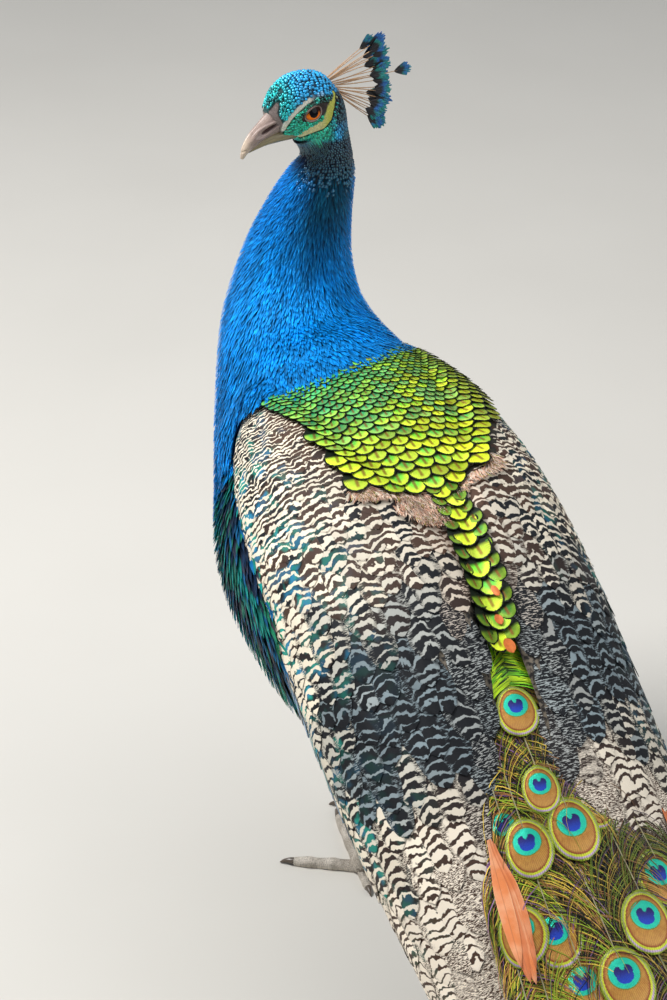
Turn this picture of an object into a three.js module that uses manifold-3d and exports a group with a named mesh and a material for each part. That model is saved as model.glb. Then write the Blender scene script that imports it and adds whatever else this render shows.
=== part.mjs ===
// A standing Indian peacock at life size: train trailing to the floor, wings folded, head turned to its left.
// Millimetres. +Z is up, +X is the way the breast faces and +Y is the bird's left, with the floor at Z = 0.
// The outlines are those of the plumage. Each solid is a loft: a row of cross-sections joined by a smooth curve.
import * as THREE from "three";
import { mergeVertices } from "three/addons/utils/BufferGeometryUtils.js";
import Module from "manifold-3d";

const wasm = await Module();
wasm.setup();

const rad = THREE.MathUtils.degToRad;
const GAP = 0.3; // between neighbouring solids
const SUNK = 1; // how far what rests on the floor is let down before it is cut flat

// ---------------------------------------------------------------- driving dimensions

// Trunk and neck, from the rump to the top of the neck. Each row is one cross-section: its centre x, y, z; the yaw
// and pitch it faces, in degrees; its half-width, its height above the centre and its depth below it.
const BODY = [
  [-322, 6, 226, 0, 42, 24, 18, 22],
  [-292, 6, 248, 0, 40, 92, 36, 62],
  [-236, 8, 282, 0, 36, 126, 55, 112],
  [-160, 8, 314, 0, 30, 136, 79, 136],
  [-80, 6, 338, 0, 25, 130, 87, 135],
  [-8, 1, 360, 0, 28, 105, 83, 113],
  [44, 0, 392, 0, 45, 80, 82, 86],
  [80, -2, 438, 0, 72, 58, 62, 62],
  [84, -8, 484, 0, 95, 44, 47, 46],
  [72, -13, 528, 0, 104, 34, 37, 34],
  [55, -16, 564, 0, 98, 26, 28, 26],
];
// The rows, counted on into the head's, where the neck starts, its upper half starts and the head starts.
const NECK_FOOT = 6.8;
const NECK_MIDDLE = 8.8;
const NECK_TOP = 11.4;

// The head, in its own frame: the point between the eyes, the way the bill points and how it is tipped.
const HEAD_CENTRE = [49, 0, 617];
const HEAD_YAW = 99;
const HEAD_PITCH = 2;
const HEAD_ROLL = 9;

// Rows in the head's frame: distance ahead of and above the point between the eyes; the pitch the section faces;
// half-width, height above the centre and depth below it.
const HEAD = [
  [-17, -34, 92, 21, 19, 20],
  [-15, -20, 76, 20.5, 19, 21],
  [-11, -5, 52, 19.5, 24.5, 26],
  [-3, 0.5, 21, 18.6, 31.2, 25],
  [8.4, 0.6, -3, 17.2, 32.4, 21],
  [20, -0.2, -17, 14, 26.4, 15.5],
  [31, -4, -26, 8.6, 15.8, 9.5],
];
const BILL_UPPER = [
  [18, -1, -8, 8.4, 13, 9],
  [30, -3, -14, 7.6, 11, 7.4],
  [40, -7.5, -22, 5.8, 8.4, 5.8],
  [50, -13, -34, 4.2, 6.2, 4.6],
  [57, -19, -50, 2.7, 3.6, 2.8],
  [60.5, -24.5, -60, 1, 1.2, 1],
];
const BILL_LOWER = [
  [12, -12, -14, 7.6, 5, 5],
  [28, -13.2, -14, 6.2, 6, 4.1],
  [40, -15.2, -16, 4.3, 5, 2.7],
  [49, -18, -20, 2.7, 4, 1.7],
  [54, -20.2, -26, 1, 1.6, 0.8],
];
const NOSTRIL = { ahead: 37.4, above: -4.4, aside: 8, length: 7.6, height: 1.5, depth: 3 };
const EYE = { ahead: 3.8, above: 3, aside: 9.9, radius: 9.7 };

// The crest, in the plane of the face: wiry bare shafts fanned from the back of the crown, a broad vane on each.
// Angles are up from straight back.
const CREST = {
  shafts: 12,
  roots: [
    [-24, 25],
    [-31, 9.5],
  ],
  angles: [26, -38],
  bare: 39,
  wire: 0.6,
  vane: { length: 14, width: 9, thickness: 1.2 },
  lone: { angle: 2, bare: 54 },
};

// What the wings lie on, from the shoulder to beyond the rump: centre x, y, z; pitch; half-width and height above.
const FLANK = [
  [52, 0, 390, 48, 82, 84],
  [14, 0, 369, 34, 100, 89],
  [-40, 3, 348, 26, 115, 92],
  [-120, 7, 324, 28, 124, 94],
  [-200, 10, 288, 34, 124, 91],
  [-280, 9, 234, 37, 119, 86],
  [-360, 7, 176, 38, 113, 79],
  [-430, 6, 120, 38, 102, 68],
  [-500, 6, 66, 38, 84, 54],
];
// The wing on it. Each row: place along the flank from 0 to 1; the angles, in degrees up from level, of its lower
// edge and of its upper edge on the left wing and on the right; its greatest thickness.
const WING = [
  [0.06, 36, 46, 46, 6],
  [0.1, 30, 55, 52, 10],
  [0.15, 23, 61, 55, 14],
  [0.22, 16, 67, 58, 16],
  [0.31, 9, 80, 75, 16],
  [0.42, 2, 87, 83, 15],
  [0.55, -9, 80, 85, 14],
  [0.66, -22, 63, 86, 13],
  [0.77, -30, 55, 73, 12],
  [0.86, -30, 47, 59, 10],
  [0.93, -18, 35, 40, 8],
  [0.97, 0, 22, 22, 6],
];
const EDGE = 5; // thickness at the edge of a wing

// The train, from its root on the rump to its tip on the floor: centre x, y, z; pitch; half-width, above, below.
const TRAIN = [
  [-250, 5, 336, 33, 22, 9, 12],
  [-308, 6, 288, 37, 60, 24, 30],
  [-380, 6, 232, 37, 78, 28, 40],
  [-470, 6, 165, 35, 92, 30, 42],
  [-565, 5, 104, 30, 112, 30, 40],
  [-665, 4, 58, 19, 134, 29, 36],
  [-770, 3, 32, 6, 154, 30, 34],
  [-890, 2, 24, 1, 168, 30, 28],
  [-1040, 0, 18, 0, 174, 30, 22],
  [-1190, 0, 13, 0, 164, 26, 17],
  [-1310, 0, 9, 0, 136, 20, 13],
  [-1385, 0, 6, 0, 96, 14, 10],
  [-1422, 0, 5, 0, 56, 9, 9],
  [-1438, 0, 4, 0, 24, 6, 8],
];
const TRAIN_CUTS = [3, 5.2, 7.4, 9.6]; // the rows where one length of the train ends and the next starts

// The forked feathers that fringe the train's tip, fanned from a point within it. Each is flat on the floor, with an
// outline of points along and across it.
const FORKS = { count: 9, spread: 76, from: -1180, reach: 196, narrowing: 62, thickness: 4 };
const FORK = [
  [0, -9],
  [50, -16],
  [82, -21],
  [70, 0],
  [82, 21],
  [50, 16],
  [0, 9],
];

// The folded flight feathers that show between the wing and the train, lying on the train: as for the wing.
const PRIMARIES = [
  [0.115, 30, 38, 5],
  [0.14, 27, 43, 7],
  [0.165, 26, 46, 7],
  [0.185, 27, 47, 6],
  [0.207, 31, 41, 4.5],
];

// The tail proper, stiff and short, under the train: as for the train.
const TAIL = [
  [-300, 6, 212, 40, 34, 9, 9],
  [-390, 6, 142, 37, 62, 8, 8],
  [-480, 6, 80, 33, 76, 7, 7],
  [-560, 6, 36, 27, 76, 5, 5],
  [-600, 6, 19, 23, 54, 3, 3],
];

// Legs: rows of x, y outward, z, half-width across, half-width along. Each foot is then set to its own place, and
// the leg above it leans there from the hip.
const THIGH = [
  [-26, 60, 280, 38, 56],
  [-58, 60, 242, 36, 50],
  [-95, 56, 205, 27, 37],
  [-122, 50, 172, 18, 23],
  [-138, 45, 146, 11, 13],
  [-141, 43, 134, 9, 10],
];
const SHANK = [
  [-139, 43, 142, 8, 9],
  [-140, 42, 130, 8.2, 9.8],
  [-134, 41, 112, 5.8, 7],
  [-116, 38, 68, 5, 6.2],
  [-100, 35, 28, 5.8, 7.2],
  [-94, 34, 13, 8, 9],
];
const SPUR = [
  [-126, 35, 88, 4.6, 4.6],
  [-135, 29, 91, 3.2, 3.2],
  [-144, 24, 97, 1, 1],
];
const FOOT = [-90, 34]; // where the toes meet, x and y outward
const HIP = 280; // height from which a leg leans
const STANCE = { left: [-12, -9], right: [42, 3] }; // how far each foot is moved ahead and outward
const PAD = 8.5; // half-width of the ball of the foot
const TOES = {
  middle: { turn: -12, length: 70, wide: 5.6, claw: 15 },
  inner: { turn: -50, length: 48, wide: 5, claw: 12 },
  outer: { turn: 56, length: 56, wide: 5, claw: 12 },
  hind: { turn: 168, length: 27, wide: 4.2, claw: 10 },
};
// Along a toe, from 0 at the ball of the foot to 1 at the claw: how thick it is, for 1 of its half-width.
const TOE_SHAPE = [
  [0, 1.15],
  [0.3, 0.92],
  [0.42, 1.02],
  [0.66, 0.84],
  [0.78, 0.95],
  [1, 0.68],
];

// ---------------------------------------------------------------- lofting

// A smooth run through cross-sections, each a ring of the same count of points, by the distance along their centres.
// Every point follows a cubic between each pair of rings, and its slope at a ring is that of the line joining the
// points on either side.
function through(rings, centres) {
  const knots = [0];
  for (let i = 1; i < rings.length; i++) {
    knots.push(knots[i - 1] + centres[i].distanceTo(centres[i - 1]));
  }
  const last = rings.length - 1;
  const slope = (i, j) => {
    const before = Math.max(i - 1, 0);
    const after = Math.min(i + 1, last);
    return rings[after][j].clone().sub(rings[before][j]).divideScalar(knots[after] - knots[before]);
  };
  const at = (distance) => {
    let i = 0;
    while (i < last - 1 && distance > knots[i + 1]) i++;
    const span = knots[i + 1] - knots[i];
    const t = (distance - knots[i]) / span;
    return rings[i].map((point, j) => {
      const rise = rings[i + 1][j].clone().sub(point);
      const a = slope(i, j).multiplyScalar(span).sub(rise);
      const b = rise.clone().sub(slope(i + 1, j).multiplyScalar(span));
      const bend = a.multiplyScalar(1 - t).addScaledVector(b, t);
      return point.clone().addScaledVector(rise, t).addScaledVector(bend, t * (1 - t));
    });
  };
  // The distance at a ring counted with a fraction, such as 2.5 for halfway from ring 2 to ring 3.
  const place = (ring) => {
    const i = Math.min(Math.floor(ring), last - 1);
    return knots[i] + (ring - i) * (knots[i + 1] - knots[i]);
  };
  return { at, place, length: knots[last] };
}

// The three axes of a cross-section: the way it faces, its left side and its upper side.
function axesOf(yaw, pitch) {
  const [c, s] = [Math.cos(rad(yaw)), Math.sin(rad(yaw))];
  const [cp, sp] = [Math.cos(rad(pitch)), Math.sin(rad(pitch))];
  return {
    ahead: new THREE.Vector3(c * cp, s * cp, sp),
    left: new THREE.Vector3(-s, c, 0),
    up: new THREE.Vector3(-c * sp, -s * sp, cp),
  };
}

// An oval ring on a centre, from an angle round it: 0 is its left side and 90 degrees its top.
function oval(centre, left, up, width, above, below, around, start = 0) {
  return Array.from({ length: around }, (_, j) => {
    const angle = (2 * Math.PI * j) / around + rad(start);
    const height = Math.sin(angle) > 0 ? above : below;
    return centre
      .clone()
      .addScaledVector(left, width * Math.cos(angle))
      .addScaledVector(up, height * Math.sin(angle));
  });
}

// A ring from a row of centre, yaw, pitch, half-width, height above and depth below.
function ringOf([x, y, z, yaw, pitch, width, above, below], around, grow = 0) {
  const { left, up } = axesOf(yaw, pitch);
  return oval(new THREE.Vector3(x, y, z), left, up, width + grow, above + grow, below + grow, around);
}

// A closed geometry from rings of points, each of the same count, closed by a fan at either end.
function skinOver(rings) {
  const around = rings[0].length;
  const points = rings.flat();
  const faces = [];
  for (let i = 0; i + 1 < rings.length; i++) {
    for (let j = 0; j < around; j++) {
      const k = (j + 1) % around;
      const [a, b] = [i * around + j, i * around + k];
      faces.push(a, b, b + around, a, b + around, a + around);
    }
  }
  for (const ring of [0, rings.length - 1]) {
    const centre = rings[ring].reduce((sum, p) => sum.add(p), new THREE.Vector3()).divideScalar(around);
    const hub = points.push(centre) - 1;
    for (let j = 0; j < around; j++) {
      const [a, b] = [ring * around + j, ring * around + ((j + 1) % around)];
      faces.push(...(ring === 0 ? [hub, b, a] : [hub, a, b]));
    }
  }
  return new THREE.BufferGeometry().setFromPoints(points).setIndex(faces);
}

// ---------------------------------------------------------------- solids

// A closed geometry as a solid, turned the right way out.
function solidFrom(geometry) {
  const bare = geometry.clone();
  bare.deleteAttribute("normal");
  bare.deleteAttribute("uv");
  const merged = mergeVertices(bare, 1e-4);
  const vertProperties = new Float32Array(merged.attributes.position.array);
  const triVerts = new Uint32Array(merged.index.array);
  const made = new wasm.Manifold(new wasm.Mesh({ numProp: 3, vertProperties, triVerts }));
  if (made.volume() > 0) return made;
  const turned = triVerts.map((_, i) => triVerts[i - (i % 3) + [0, 2, 1][i % 3]]);
  return new wasm.Manifold(new wasm.Mesh({ numProp: 3, vertProperties, triVerts: turned }));
}

function geometryFrom(solid) {
  const mesh = solid.getMesh();
  return new THREE.BufferGeometry()
    .setAttribute("position", new THREE.BufferAttribute(new Float32Array(mesh.vertProperties), 3))
    .setIndex(new THREE.BufferAttribute(new Uint32Array(mesh.triVerts), 1));
}

// The solid along a run of rings, between two distances.
function loft(run, from, to, steps) {
  return solidFrom(skinOver(Array.from({ length: steps + 1 }, (_, i) => run.at(from + ((to - from) * i) / steps))));
}

const ground = solidFrom(new THREE.BoxGeometry(4000, 2000, 100).translate(0, 0, -50));
const rested = (solid) => solid.subtract(ground);

const peacock = new THREE.Group();
function add(name, solid, colour, roughness = 0.7, metalness = 0) {
  const material = new THREE.MeshStandardMaterial({ color: colour, roughness, metalness });
  const mesh = new THREE.Mesh(geometryFrom(solid), material);
  mesh.name = name;
  peacock.add(mesh);
}

// ---------------------------------------------------------------- trunk, neck and head, one form parted by cuts

const facing = axesOf(HEAD_YAW, HEAD_PITCH);
const headLeft = facing.left.clone().applyAxisAngle(facing.ahead, rad(HEAD_ROLL));
const headUp = facing.up.clone().applyAxisAngle(facing.ahead, rad(HEAD_ROLL));
const headPoint = (ahead, above, aside = 0) =>
  new THREE.Vector3(...HEAD_CENTRE)
    .addScaledVector(facing.ahead, ahead)
    .addScaledVector(headUp, above)
    .addScaledVector(headLeft, aside);

// A ring from a row in the head's frame. It starts at the bird's left, as the neck's rings do, not at the head's.
function headRing([ahead, above, turn, width, top, bottom], around, grow = 0) {
  const [c, s] = [Math.cos(rad(turn)), Math.sin(rad(turn))];
  const up = headUp.clone().multiplyScalar(c).addScaledVector(facing.ahead, -s);
  const size = [width + grow, top + grow, bottom + grow];
  return oval(headPoint(ahead, above), headLeft, up, ...size, around, -HEAD_YAW);
}

function headRun(rows, around, grow = 0) {
  return through(
    rows.map((row) => headRing(row, around, grow)),
    rows.map((row) => headPoint(row[0], row[1])),
  );
}

const AROUND = 28;
function bodyRun(grow = 0) {
  return through(
    [...BODY.map((row) => ringOf(row, AROUND, grow)), ...HEAD.map((row) => headRing(row, AROUND, grow))],
    [...BODY.map((row) => new THREE.Vector3(...row.slice(0, 3))), ...HEAD.map((row) => headPoint(row[0], row[1]))],
  );
}

const body = bodyRun();
const bodyGrown = bodyRun(GAP);
const cuts = [NECK_FOOT, NECK_MIDDLE, NECK_TOP].map((ring) => body.place(ring));
const trunkGrown = loft(bodyGrown, -GAP, cuts[0], 18);
add("trunk", loft(body, 0, cuts[0] - GAP / 2, 18), 0x1f6b4a);
add("neck_lower", loft(body, cuts[0] + GAP / 2, cuts[1] - GAP / 2, 5), 0x0b4fc4);
add("neck_upper", loft(body, cuts[1] + GAP / 2, cuts[2] - GAP / 2, 6), 0x0b4fc4);

const headGrown = loft(bodyGrown, cuts[2], body.length, 12);
const eyeBall = (side, grow = 0) => {
  const { x, y, z } = headPoint(EYE.ahead, EYE.above, side * EYE.aside);
  return solidFrom(new THREE.SphereGeometry(EYE.radius + grow, 12, 8).translate(x, y, z));
};
const head = loft(body, cuts[2] + GAP / 2, body.length, 12);
add("head", head.subtract(eyeBall(1, GAP)).subtract(eyeBall(-1, GAP)), 0x1b8fc0);
add("eye_left", eyeBall(1), 0x3a1c0c, 0.1);
add("eye_right", eyeBall(-1), 0x3a1c0c, 0.1);

// ---------------------------------------------------------------- bill

const nostril = (side) => {
  const cut = new THREE.SphereGeometry(1, 8, 6).scale(NOSTRIL.length, NOSTRIL.depth, NOSTRIL.height);
  const basis = new THREE.Matrix4().makeBasis(facing.ahead, headLeft, headUp);
  const { x, y, z } = headPoint(NOSTRIL.ahead, NOSTRIL.above, side * NOSTRIL.aside);
  return solidFrom(cut.rotateY(rad(25)).applyMatrix4(basis).translate(x, y, z));
};
const mandible = (rows, grow = 0) => {
  const run = headRun(rows, 12, grow);
  return loft(run, 0, run.length, 7);
};
const billUpper = mandible(BILL_UPPER).subtract(headGrown);
const billLower = mandible(BILL_LOWER).subtract(mandible(BILL_UPPER, GAP)).subtract(headGrown);
add("bill_upper", billUpper.subtract(nostril(1)).subtract(nostril(-1)), 0x8c7468, 0.45);
add("bill_lower", billLower, 0xb09a72, 0.45);

// ---------------------------------------------------------------- wings

// The middle line of something long with the size of its sections, to lie other things on.
function backOf(rows) {
  return through(
    rows.map(([x, y, z, ...size]) => [new THREE.Vector3(x, y, z), new THREE.Vector3(...size)]),
    rows.map(([x, y, z]) => new THREE.Vector3(x, y, z)),
  );
}
// A point over it: side 1 is the left; a place along it from 0 to 1, an angle up from level, a height over it.
function over(back, side, along, angle, height) {
  const [centre, { x: pitch, y: width, z: above }] = back.at(along * back.length);
  return centre
    .clone()
    .addScaledVector(axesOf(0, pitch).up, (above + height) * Math.sin(rad(angle)))
    .add(new THREE.Vector3(0, side * (width + height) * Math.cos(rad(angle)), 0));
}
// A leaf of feathers lying on it, with the edges given by rows of place, lower and upper angle, and thickness. Grown,
// it is also wider by a few degrees for each millimetre, and longer, so that it holds the one that isn't.
function leaf(back, rows, side, steps, across, rim, grow = 0) {
  const edges = backOf(rows.map(([along, ...shape]) => [along, 0, 0, ...shape]));
  const rings = Array.from({ length: steps + 1 }, (_, i) => {
    const [{ x: place }, { x: low, y: high, z: thick }] = edges.at((edges.length * i) / steps);
    const along = place + ((Math.sign(i - steps / 2) * grow) / back.length) * 3;
    const angle = (v) => low + (high - low) * v + 3 * grow * (2 * v - 1);
    const outer = Array.from({ length: across + 1 }, (_, j) => {
      const v = j / across;
      const height = rim + (thick - rim) * Math.sqrt(Math.sin(Math.PI * v)) + grow;
      return over(back, side, along, angle(v), height);
    });
    const inner = [0.9, 0.7, 0.5, 0.3, 0.1].map((v) =>
      over(back, side, along, angle(v), -4 * Math.sin(Math.PI * v) - grow),
    );
    return [...outer, ...inner];
  });
  return solidFrom(skinOver(rings));
}

const flank = backOf(FLANK);
const wing = (side, grow) => {
  const rows = WING.map(([along, low, left, right, thick]) => [along, low, side > 0 ? left : right, thick]);
  return leaf(flank, rows, side, 16, 9, EDGE, grow);
};
const wingsGrown = wing(1, GAP).add(wing(-1, GAP));
add("wing_left", wing(1).subtract(trunkGrown), 0xb9ad98);
add("wing_right", wing(-1).subtract(trunkGrown), 0xb9ad98);

// ---------------------------------------------------------------- train and tail

function levelRun(rows, around, grow = 0) {
  return through(
    rows.map(([x, y, z, ...size]) => ringOf([x, y, z, 0, ...size], around, grow)),
    rows.map(([x, y, z]) => new THREE.Vector3(x, y, z)),
  );
}
const train = levelRun(TRAIN, 20);
const trainWhole = levelRun(TRAIN, 20, GAP);
const trainEnds = [0, ...TRAIN_CUTS.map((ring) => train.place(ring)), train.length];
const trainGrown = trainEnds
  .slice(1)
  .map((end, i) => loft(trainWhole, trainEnds[i] - (i === 0 ? GAP : 0), end, 5))
  .reduce((whole, length) => whole.add(length));
const trainLengths = ["root", "upper", "middle", "lower", "tip"].map((name, i) => {
  const from = trainEnds[i] + (i > 0 ? GAP / 2 : 0);
  const to = trainEnds[i + 1] - (i < TRAIN_CUTS.length ? GAP / 2 : 0);
  const length = rested(loft(train, from, to, 5));
  return [name, i < 2 ? length.subtract(trunkGrown).subtract(wingsGrown) : length];
});
for (let i = 0; i < FORKS.count; i++) {
  const turn = FORKS.spread * (i / (FORKS.count - 1) - 0.5);
  const root = FORKS.reach - FORKS.narrowing * (1 - Math.cos(rad(2 * turn)));
  const rings = [0, FORKS.thickness].map((z) =>
    FORK.map(([along, across]) => {
      const flat = new THREE.Vector3(-root - along, across, z);
      return flat.applyAxisAngle(new THREE.Vector3(0, 0, 1), rad(turn)).add(new THREE.Vector3(FORKS.from, 0, 0));
    }),
  );
  trainLengths[4][1] = trainLengths[4][1].add(solidFrom(skinOver(rings)));
}
for (const [name, length] of trainLengths) {
  add("train_" + name, length, 0x3f6a1e);
}

const trainBack = backOf(TRAIN);
for (const [name, side] of [["left", 1], ["right", -1]]) {
  const primaries = leaf(trainBack, PRIMARIES, side, 6, 4, 3.5).subtract(wingsGrown);
  add("primaries_" + name, primaries.subtract(trainGrown).subtract(trunkGrown), 0xc9733f);
}
const tailRun = levelRun(TAIL, 16);
const tail = loft(tailRun, 0, tailRun.length, 6).subtract(trainGrown);
add("tail", tail.subtract(trunkGrown).subtract(wingsGrown), 0x5a4a3c);

// ---------------------------------------------------------------- legs

// A limb through rows of x, y, z, half-width across and half-width along, each ring square to the line at its row. In
// one that stands, across is the bird's left; in one that lies, it is level.
function limb(rows, steps, around, grow = 0) {
  const centres = rows.map(([x, y, z]) => new THREE.Vector3(x, y, z));
  const run = through(
    rows.map(([, , , across, along], i) => {
      const line = centres[Math.min(i + 1, rows.length - 1)].clone().sub(centres[Math.max(i - 1, 0)]).normalize();
      const level = Math.abs(line.z) > 0.7 ? new THREE.Vector3(0, 1, 0) : new THREE.Vector3(-line.y, line.x, 0);
      const side = level.addScaledVector(line, -level.dot(line)).normalize();
      const front = new THREE.Vector3().crossVectors(side, line);
      return oval(centres[i], side, front, across + grow, along + grow, along + grow, around);
    }),
    centres,
  );
  return loft(run, 0, run.length, steps);
}
for (const [name, side] of [["left", 1], ["right", -1]]) {
  const [ahead, outward] = STANCE[name];
  const placed = (rows) =>
    rows.map(([x, y, z, ...size]) => {
      const lean = (HIP - z) / HIP;
      return [x + ahead * lean, side * (y + outward * lean), z, ...size];
    });
  const shankGrown = limb(placed(SHANK), 9, 10, GAP);
  const shank = limb(placed(SHANK), 9, 10);
  const thigh = limb(placed(THIGH), 7, 14);
  add("thigh_" + name, thigh.subtract(trunkGrown).subtract(shankGrown).subtract(wingsGrown), 0x8d7a5c);
  add("shank_" + name, shank, 0x8a8478, 0.6);
  add("spur_" + name, limb(placed(SPUR), 3, 6).subtract(shankGrown), 0x6f675c, 0.5);

  const ball = new THREE.Vector3(FOOT[0] + ahead, side * (FOOT[1] + outward), 0);
  let foot = solidFrom(new THREE.SphereGeometry(PAD, 10, 6).translate(ball.x, ball.y, PAD - SUNK));
  for (const [toe, { turn, length, wide, claw }] of Object.entries(TOES)) {
    const way = new THREE.Vector3(Math.cos(rad(turn)), side * Math.sin(rad(turn)), 0);
    const at = (distance, height, half) => [...ball.clone().addScaledVector(way, distance).setZ(height), half, half];
    foot = foot.add(limb(TOE_SHAPE.map(([t, k]) => at(t * length, wide * k - SUNK, wide * k)), 6, 8));
    const nail = [
      at(length + 3 * GAP, wide * 0.6, wide * 0.6),
      at(length + claw * 0.45, wide * 0.6, wide * 0.44),
      at(length + claw * 0.8, wide * 0.36, wide * 0.28),
      at(length + claw, wide * 0.16, wide * 0.12),
    ];
    add("claw_" + name + "_" + toe, rested(limb(nail, 4, 6)), 0x3b342c, 0.4);
  }
  add("foot_" + name, rested(foot).subtract(shankGrown), 0x8a8478, 0.6);
}

// ---------------------------------------------------------------- crest

// A flat shape in the plane of the face, given by points along and across a line that leaves a root at an angle.
function plate(root, angle, points, thickness, aside) {
  const [c, s] = [Math.cos(rad(angle)), Math.sin(rad(angle))];
  const rings = [-0.5, 0.5].map((half) =>
    points.map(([along, across]) =>
      headPoint(root[0] - c * along + s * across, root[1] + s * along + c * across, aside + half * thickness),
    ),
  );
  return solidFrom(skinOver(rings));
}
function crestFeather(root, angle, bare, aside) {
  const { length, width, thickness } = CREST.vane;
  const w = CREST.wire;
  const wire = [[-4, -w], [bare + 2, -w], [bare + 2, w], [-4, w]];
  const fan = [[0, -0.1], [0.5, -0.4], [0.85, -0.5], [1, 0], [0.85, 0.5], [0.5, 0.4], [0, 0.1]];
  const vane = fan.map(([along, across]) => [bare + along * length, across * width]);
  return plate(root, angle, wire, 2 * w, aside).add(plate(root, angle, vane, thickness, aside));
}
const between = (from, to, t) => from + (to - from) * t;
const crestRoot = (t) => [0, 1].map((axis) => between(CREST.roots[0][axis], CREST.roots[1][axis], t));
let crest = crestFeather(crestRoot(0.5), CREST.lone.angle, CREST.lone.bare, 0);
for (let i = 0; i < CREST.shafts; i++) {
  const t = i / (CREST.shafts - 1);
  const bare = CREST.bare + 4 * ((i * 2) % 3) - 3 - 5 * t;
  const aside = 0.5 * ((i % 3) - 1);
  crest = crest.add(crestFeather(crestRoot(t), between(...CREST.angles, t), bare, aside));
}
add("crest", crest.subtract(headGrown), 0x1d5f86);

// ---------------------------------------------------------------- set over the origin

const middle = new THREE.Box3().setFromObject(peacock).getCenter(new THREE.Vector3());
peacock.children.forEach((mesh) => mesh.geometry.translate(-middle.x, -middle.y, 0));

export default peacock;
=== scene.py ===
"""A peacock standing at life size, its folded train laid out behind it on the floor.

Lengths in the shapes are in millimetres and angles in degrees, in the frame the bird was drawn in: its
head end is towards +x, its left is +y and the floor is z = 0. `put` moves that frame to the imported
model's and to metres.
"""

import bpy
import numpy as np
from mathutils import Matrix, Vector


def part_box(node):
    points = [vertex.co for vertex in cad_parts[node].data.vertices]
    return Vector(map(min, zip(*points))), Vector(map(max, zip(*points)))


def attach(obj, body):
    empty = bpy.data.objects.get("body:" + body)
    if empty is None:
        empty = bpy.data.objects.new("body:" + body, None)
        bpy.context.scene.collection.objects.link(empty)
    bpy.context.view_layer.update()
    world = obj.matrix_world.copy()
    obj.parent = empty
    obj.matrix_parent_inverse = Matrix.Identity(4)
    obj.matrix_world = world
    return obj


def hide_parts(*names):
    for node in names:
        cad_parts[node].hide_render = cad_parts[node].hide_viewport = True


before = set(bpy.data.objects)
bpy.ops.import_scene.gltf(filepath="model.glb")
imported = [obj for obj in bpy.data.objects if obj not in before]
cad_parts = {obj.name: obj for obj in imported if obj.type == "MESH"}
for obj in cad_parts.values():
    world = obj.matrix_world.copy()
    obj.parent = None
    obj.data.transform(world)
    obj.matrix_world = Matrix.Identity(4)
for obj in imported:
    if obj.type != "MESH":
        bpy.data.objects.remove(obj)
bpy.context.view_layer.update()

# -------------------- the bird's dimensions

# Trunk and neck: centre x, y, z; yaw; pitch; half-width, height above and depth below the centre.
BODY = [
    (-322, 6, 226, 0, 42, 24, 18, 22),
    (-292, 6, 248, 0, 40, 92, 36, 62),
    (-236, 8, 282, 0, 36, 126, 55, 112),
    (-160, 8, 314, 0, 30, 136, 79, 136),
    (-80, 6, 338, 0, 25, 130, 87, 135),
    (-8, 1, 360, 0, 28, 105, 83, 113),
    (44, 0, 392, 0, 45, 80, 82, 86),
    (80, -2, 438, 0, 72, 58, 62, 62),
    (84, -8, 484, 0, 95, 44, 47, 46),
    (72, -13, 528, 0, 104, 34, 37, 34),
    (55, -16, 564, 0, 98, 26, 28, 26),
]
# Head and bill, in the head's own frame: ahead, above; pitch of the section; half-width, above, below.
HEAD = [
    (-17, -34, 92, 21, 19, 20),
    (-15, -20, 76, 20.5, 19, 21),
    (-11, -5, 52, 19.5, 24.5, 26),
    (-3, 0.5, 21, 18.6, 31.2, 25),
    (8.4, 0.6, -3, 17.2, 32.4, 21),
    (20, -0.2, -17, 14, 26.4, 15.5),
    (31, -4, -26, 8.6, 15.8, 9.5),
]
BILL_UPPER = [
    (18, -1, -8, 8.4, 13, 9),
    (30, -3, -14, 7.6, 11, 7.4),
    (40, -7.5, -22, 5.8, 8.4, 5.8),
    (50, -13, -34, 4.2, 6.2, 4.6),
    (57, -19, -50, 2.7, 3.6, 2.8),
    (60.5, -24.5, -60, 1, 1.2, 1),
]
BILL_LOWER = [
    (12, -12, -14, 7.6, 5, 5),
    (28, -13.2, -14, 6.2, 6, 4.1),
    (40, -15.2, -16, 4.3, 5, 2.7),
    (49, -18, -20, 2.7, 4, 1.7),
    (54, -20.2, -26, 1, 1.6, 0.8),
]
HEAD_CENTRE, HEAD_YAW, HEAD_PITCH, HEAD_ROLL = (49, 0, 617), 99, 2, 9
EYE = {"ahead": 3.8, "above": 3, "aside": 9.9, "radius": 9.7}
LIDS = {"long": 8.4, "high": 4.5, "tilt": 20, "ahead": 0.0, "above": 0.3}
NOSTRIL = {"ahead": 37.4, "above": -4.4, "long": 8.8, "high": 1.7, "tilt": 24}

# What the wings lie on: centre x, y, z; pitch; half-width; height above.
FLANK = [
    (52, 0, 390, 48, 82, 84),
    (14, 0, 369, 34, 100, 89),
    (-40, 3, 348, 26, 115, 92),
    (-120, 7, 324, 28, 124, 94),
    (-200, 10, 288, 34, 124, 91),
    (-280, 9, 234, 37, 119, 86),
    (-360, 7, 176, 38, 113, 79),
    (-430, 6, 120, 38, 102, 68),
    (-500, 6, 66, 38, 84, 54),
]
# A wing: place along the flank from 0 to 1; angles of its lower edge and of its upper edge on the left
# and on the right; thickness.
WING = np.array([
    (0.06, 36, 46, 46, 6),
    (0.1, 30, 55, 52, 10),
    (0.15, 23, 61, 55, 14),
    (0.22, 16, 67, 58, 16),
    (0.31, 9, 80, 75, 16),
    (0.42, 2, 87, 83, 15),
    (0.55, -9, 80, 85, 14),
    (0.66, -22, 63, 86, 13),
    (0.77, -30, 55, 73, 12),
    (0.86, -30, 47, 59, 10),
    (0.93, -18, 35, 40, 8),
    (0.97, 0, 22, 22, 6),
])
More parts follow.
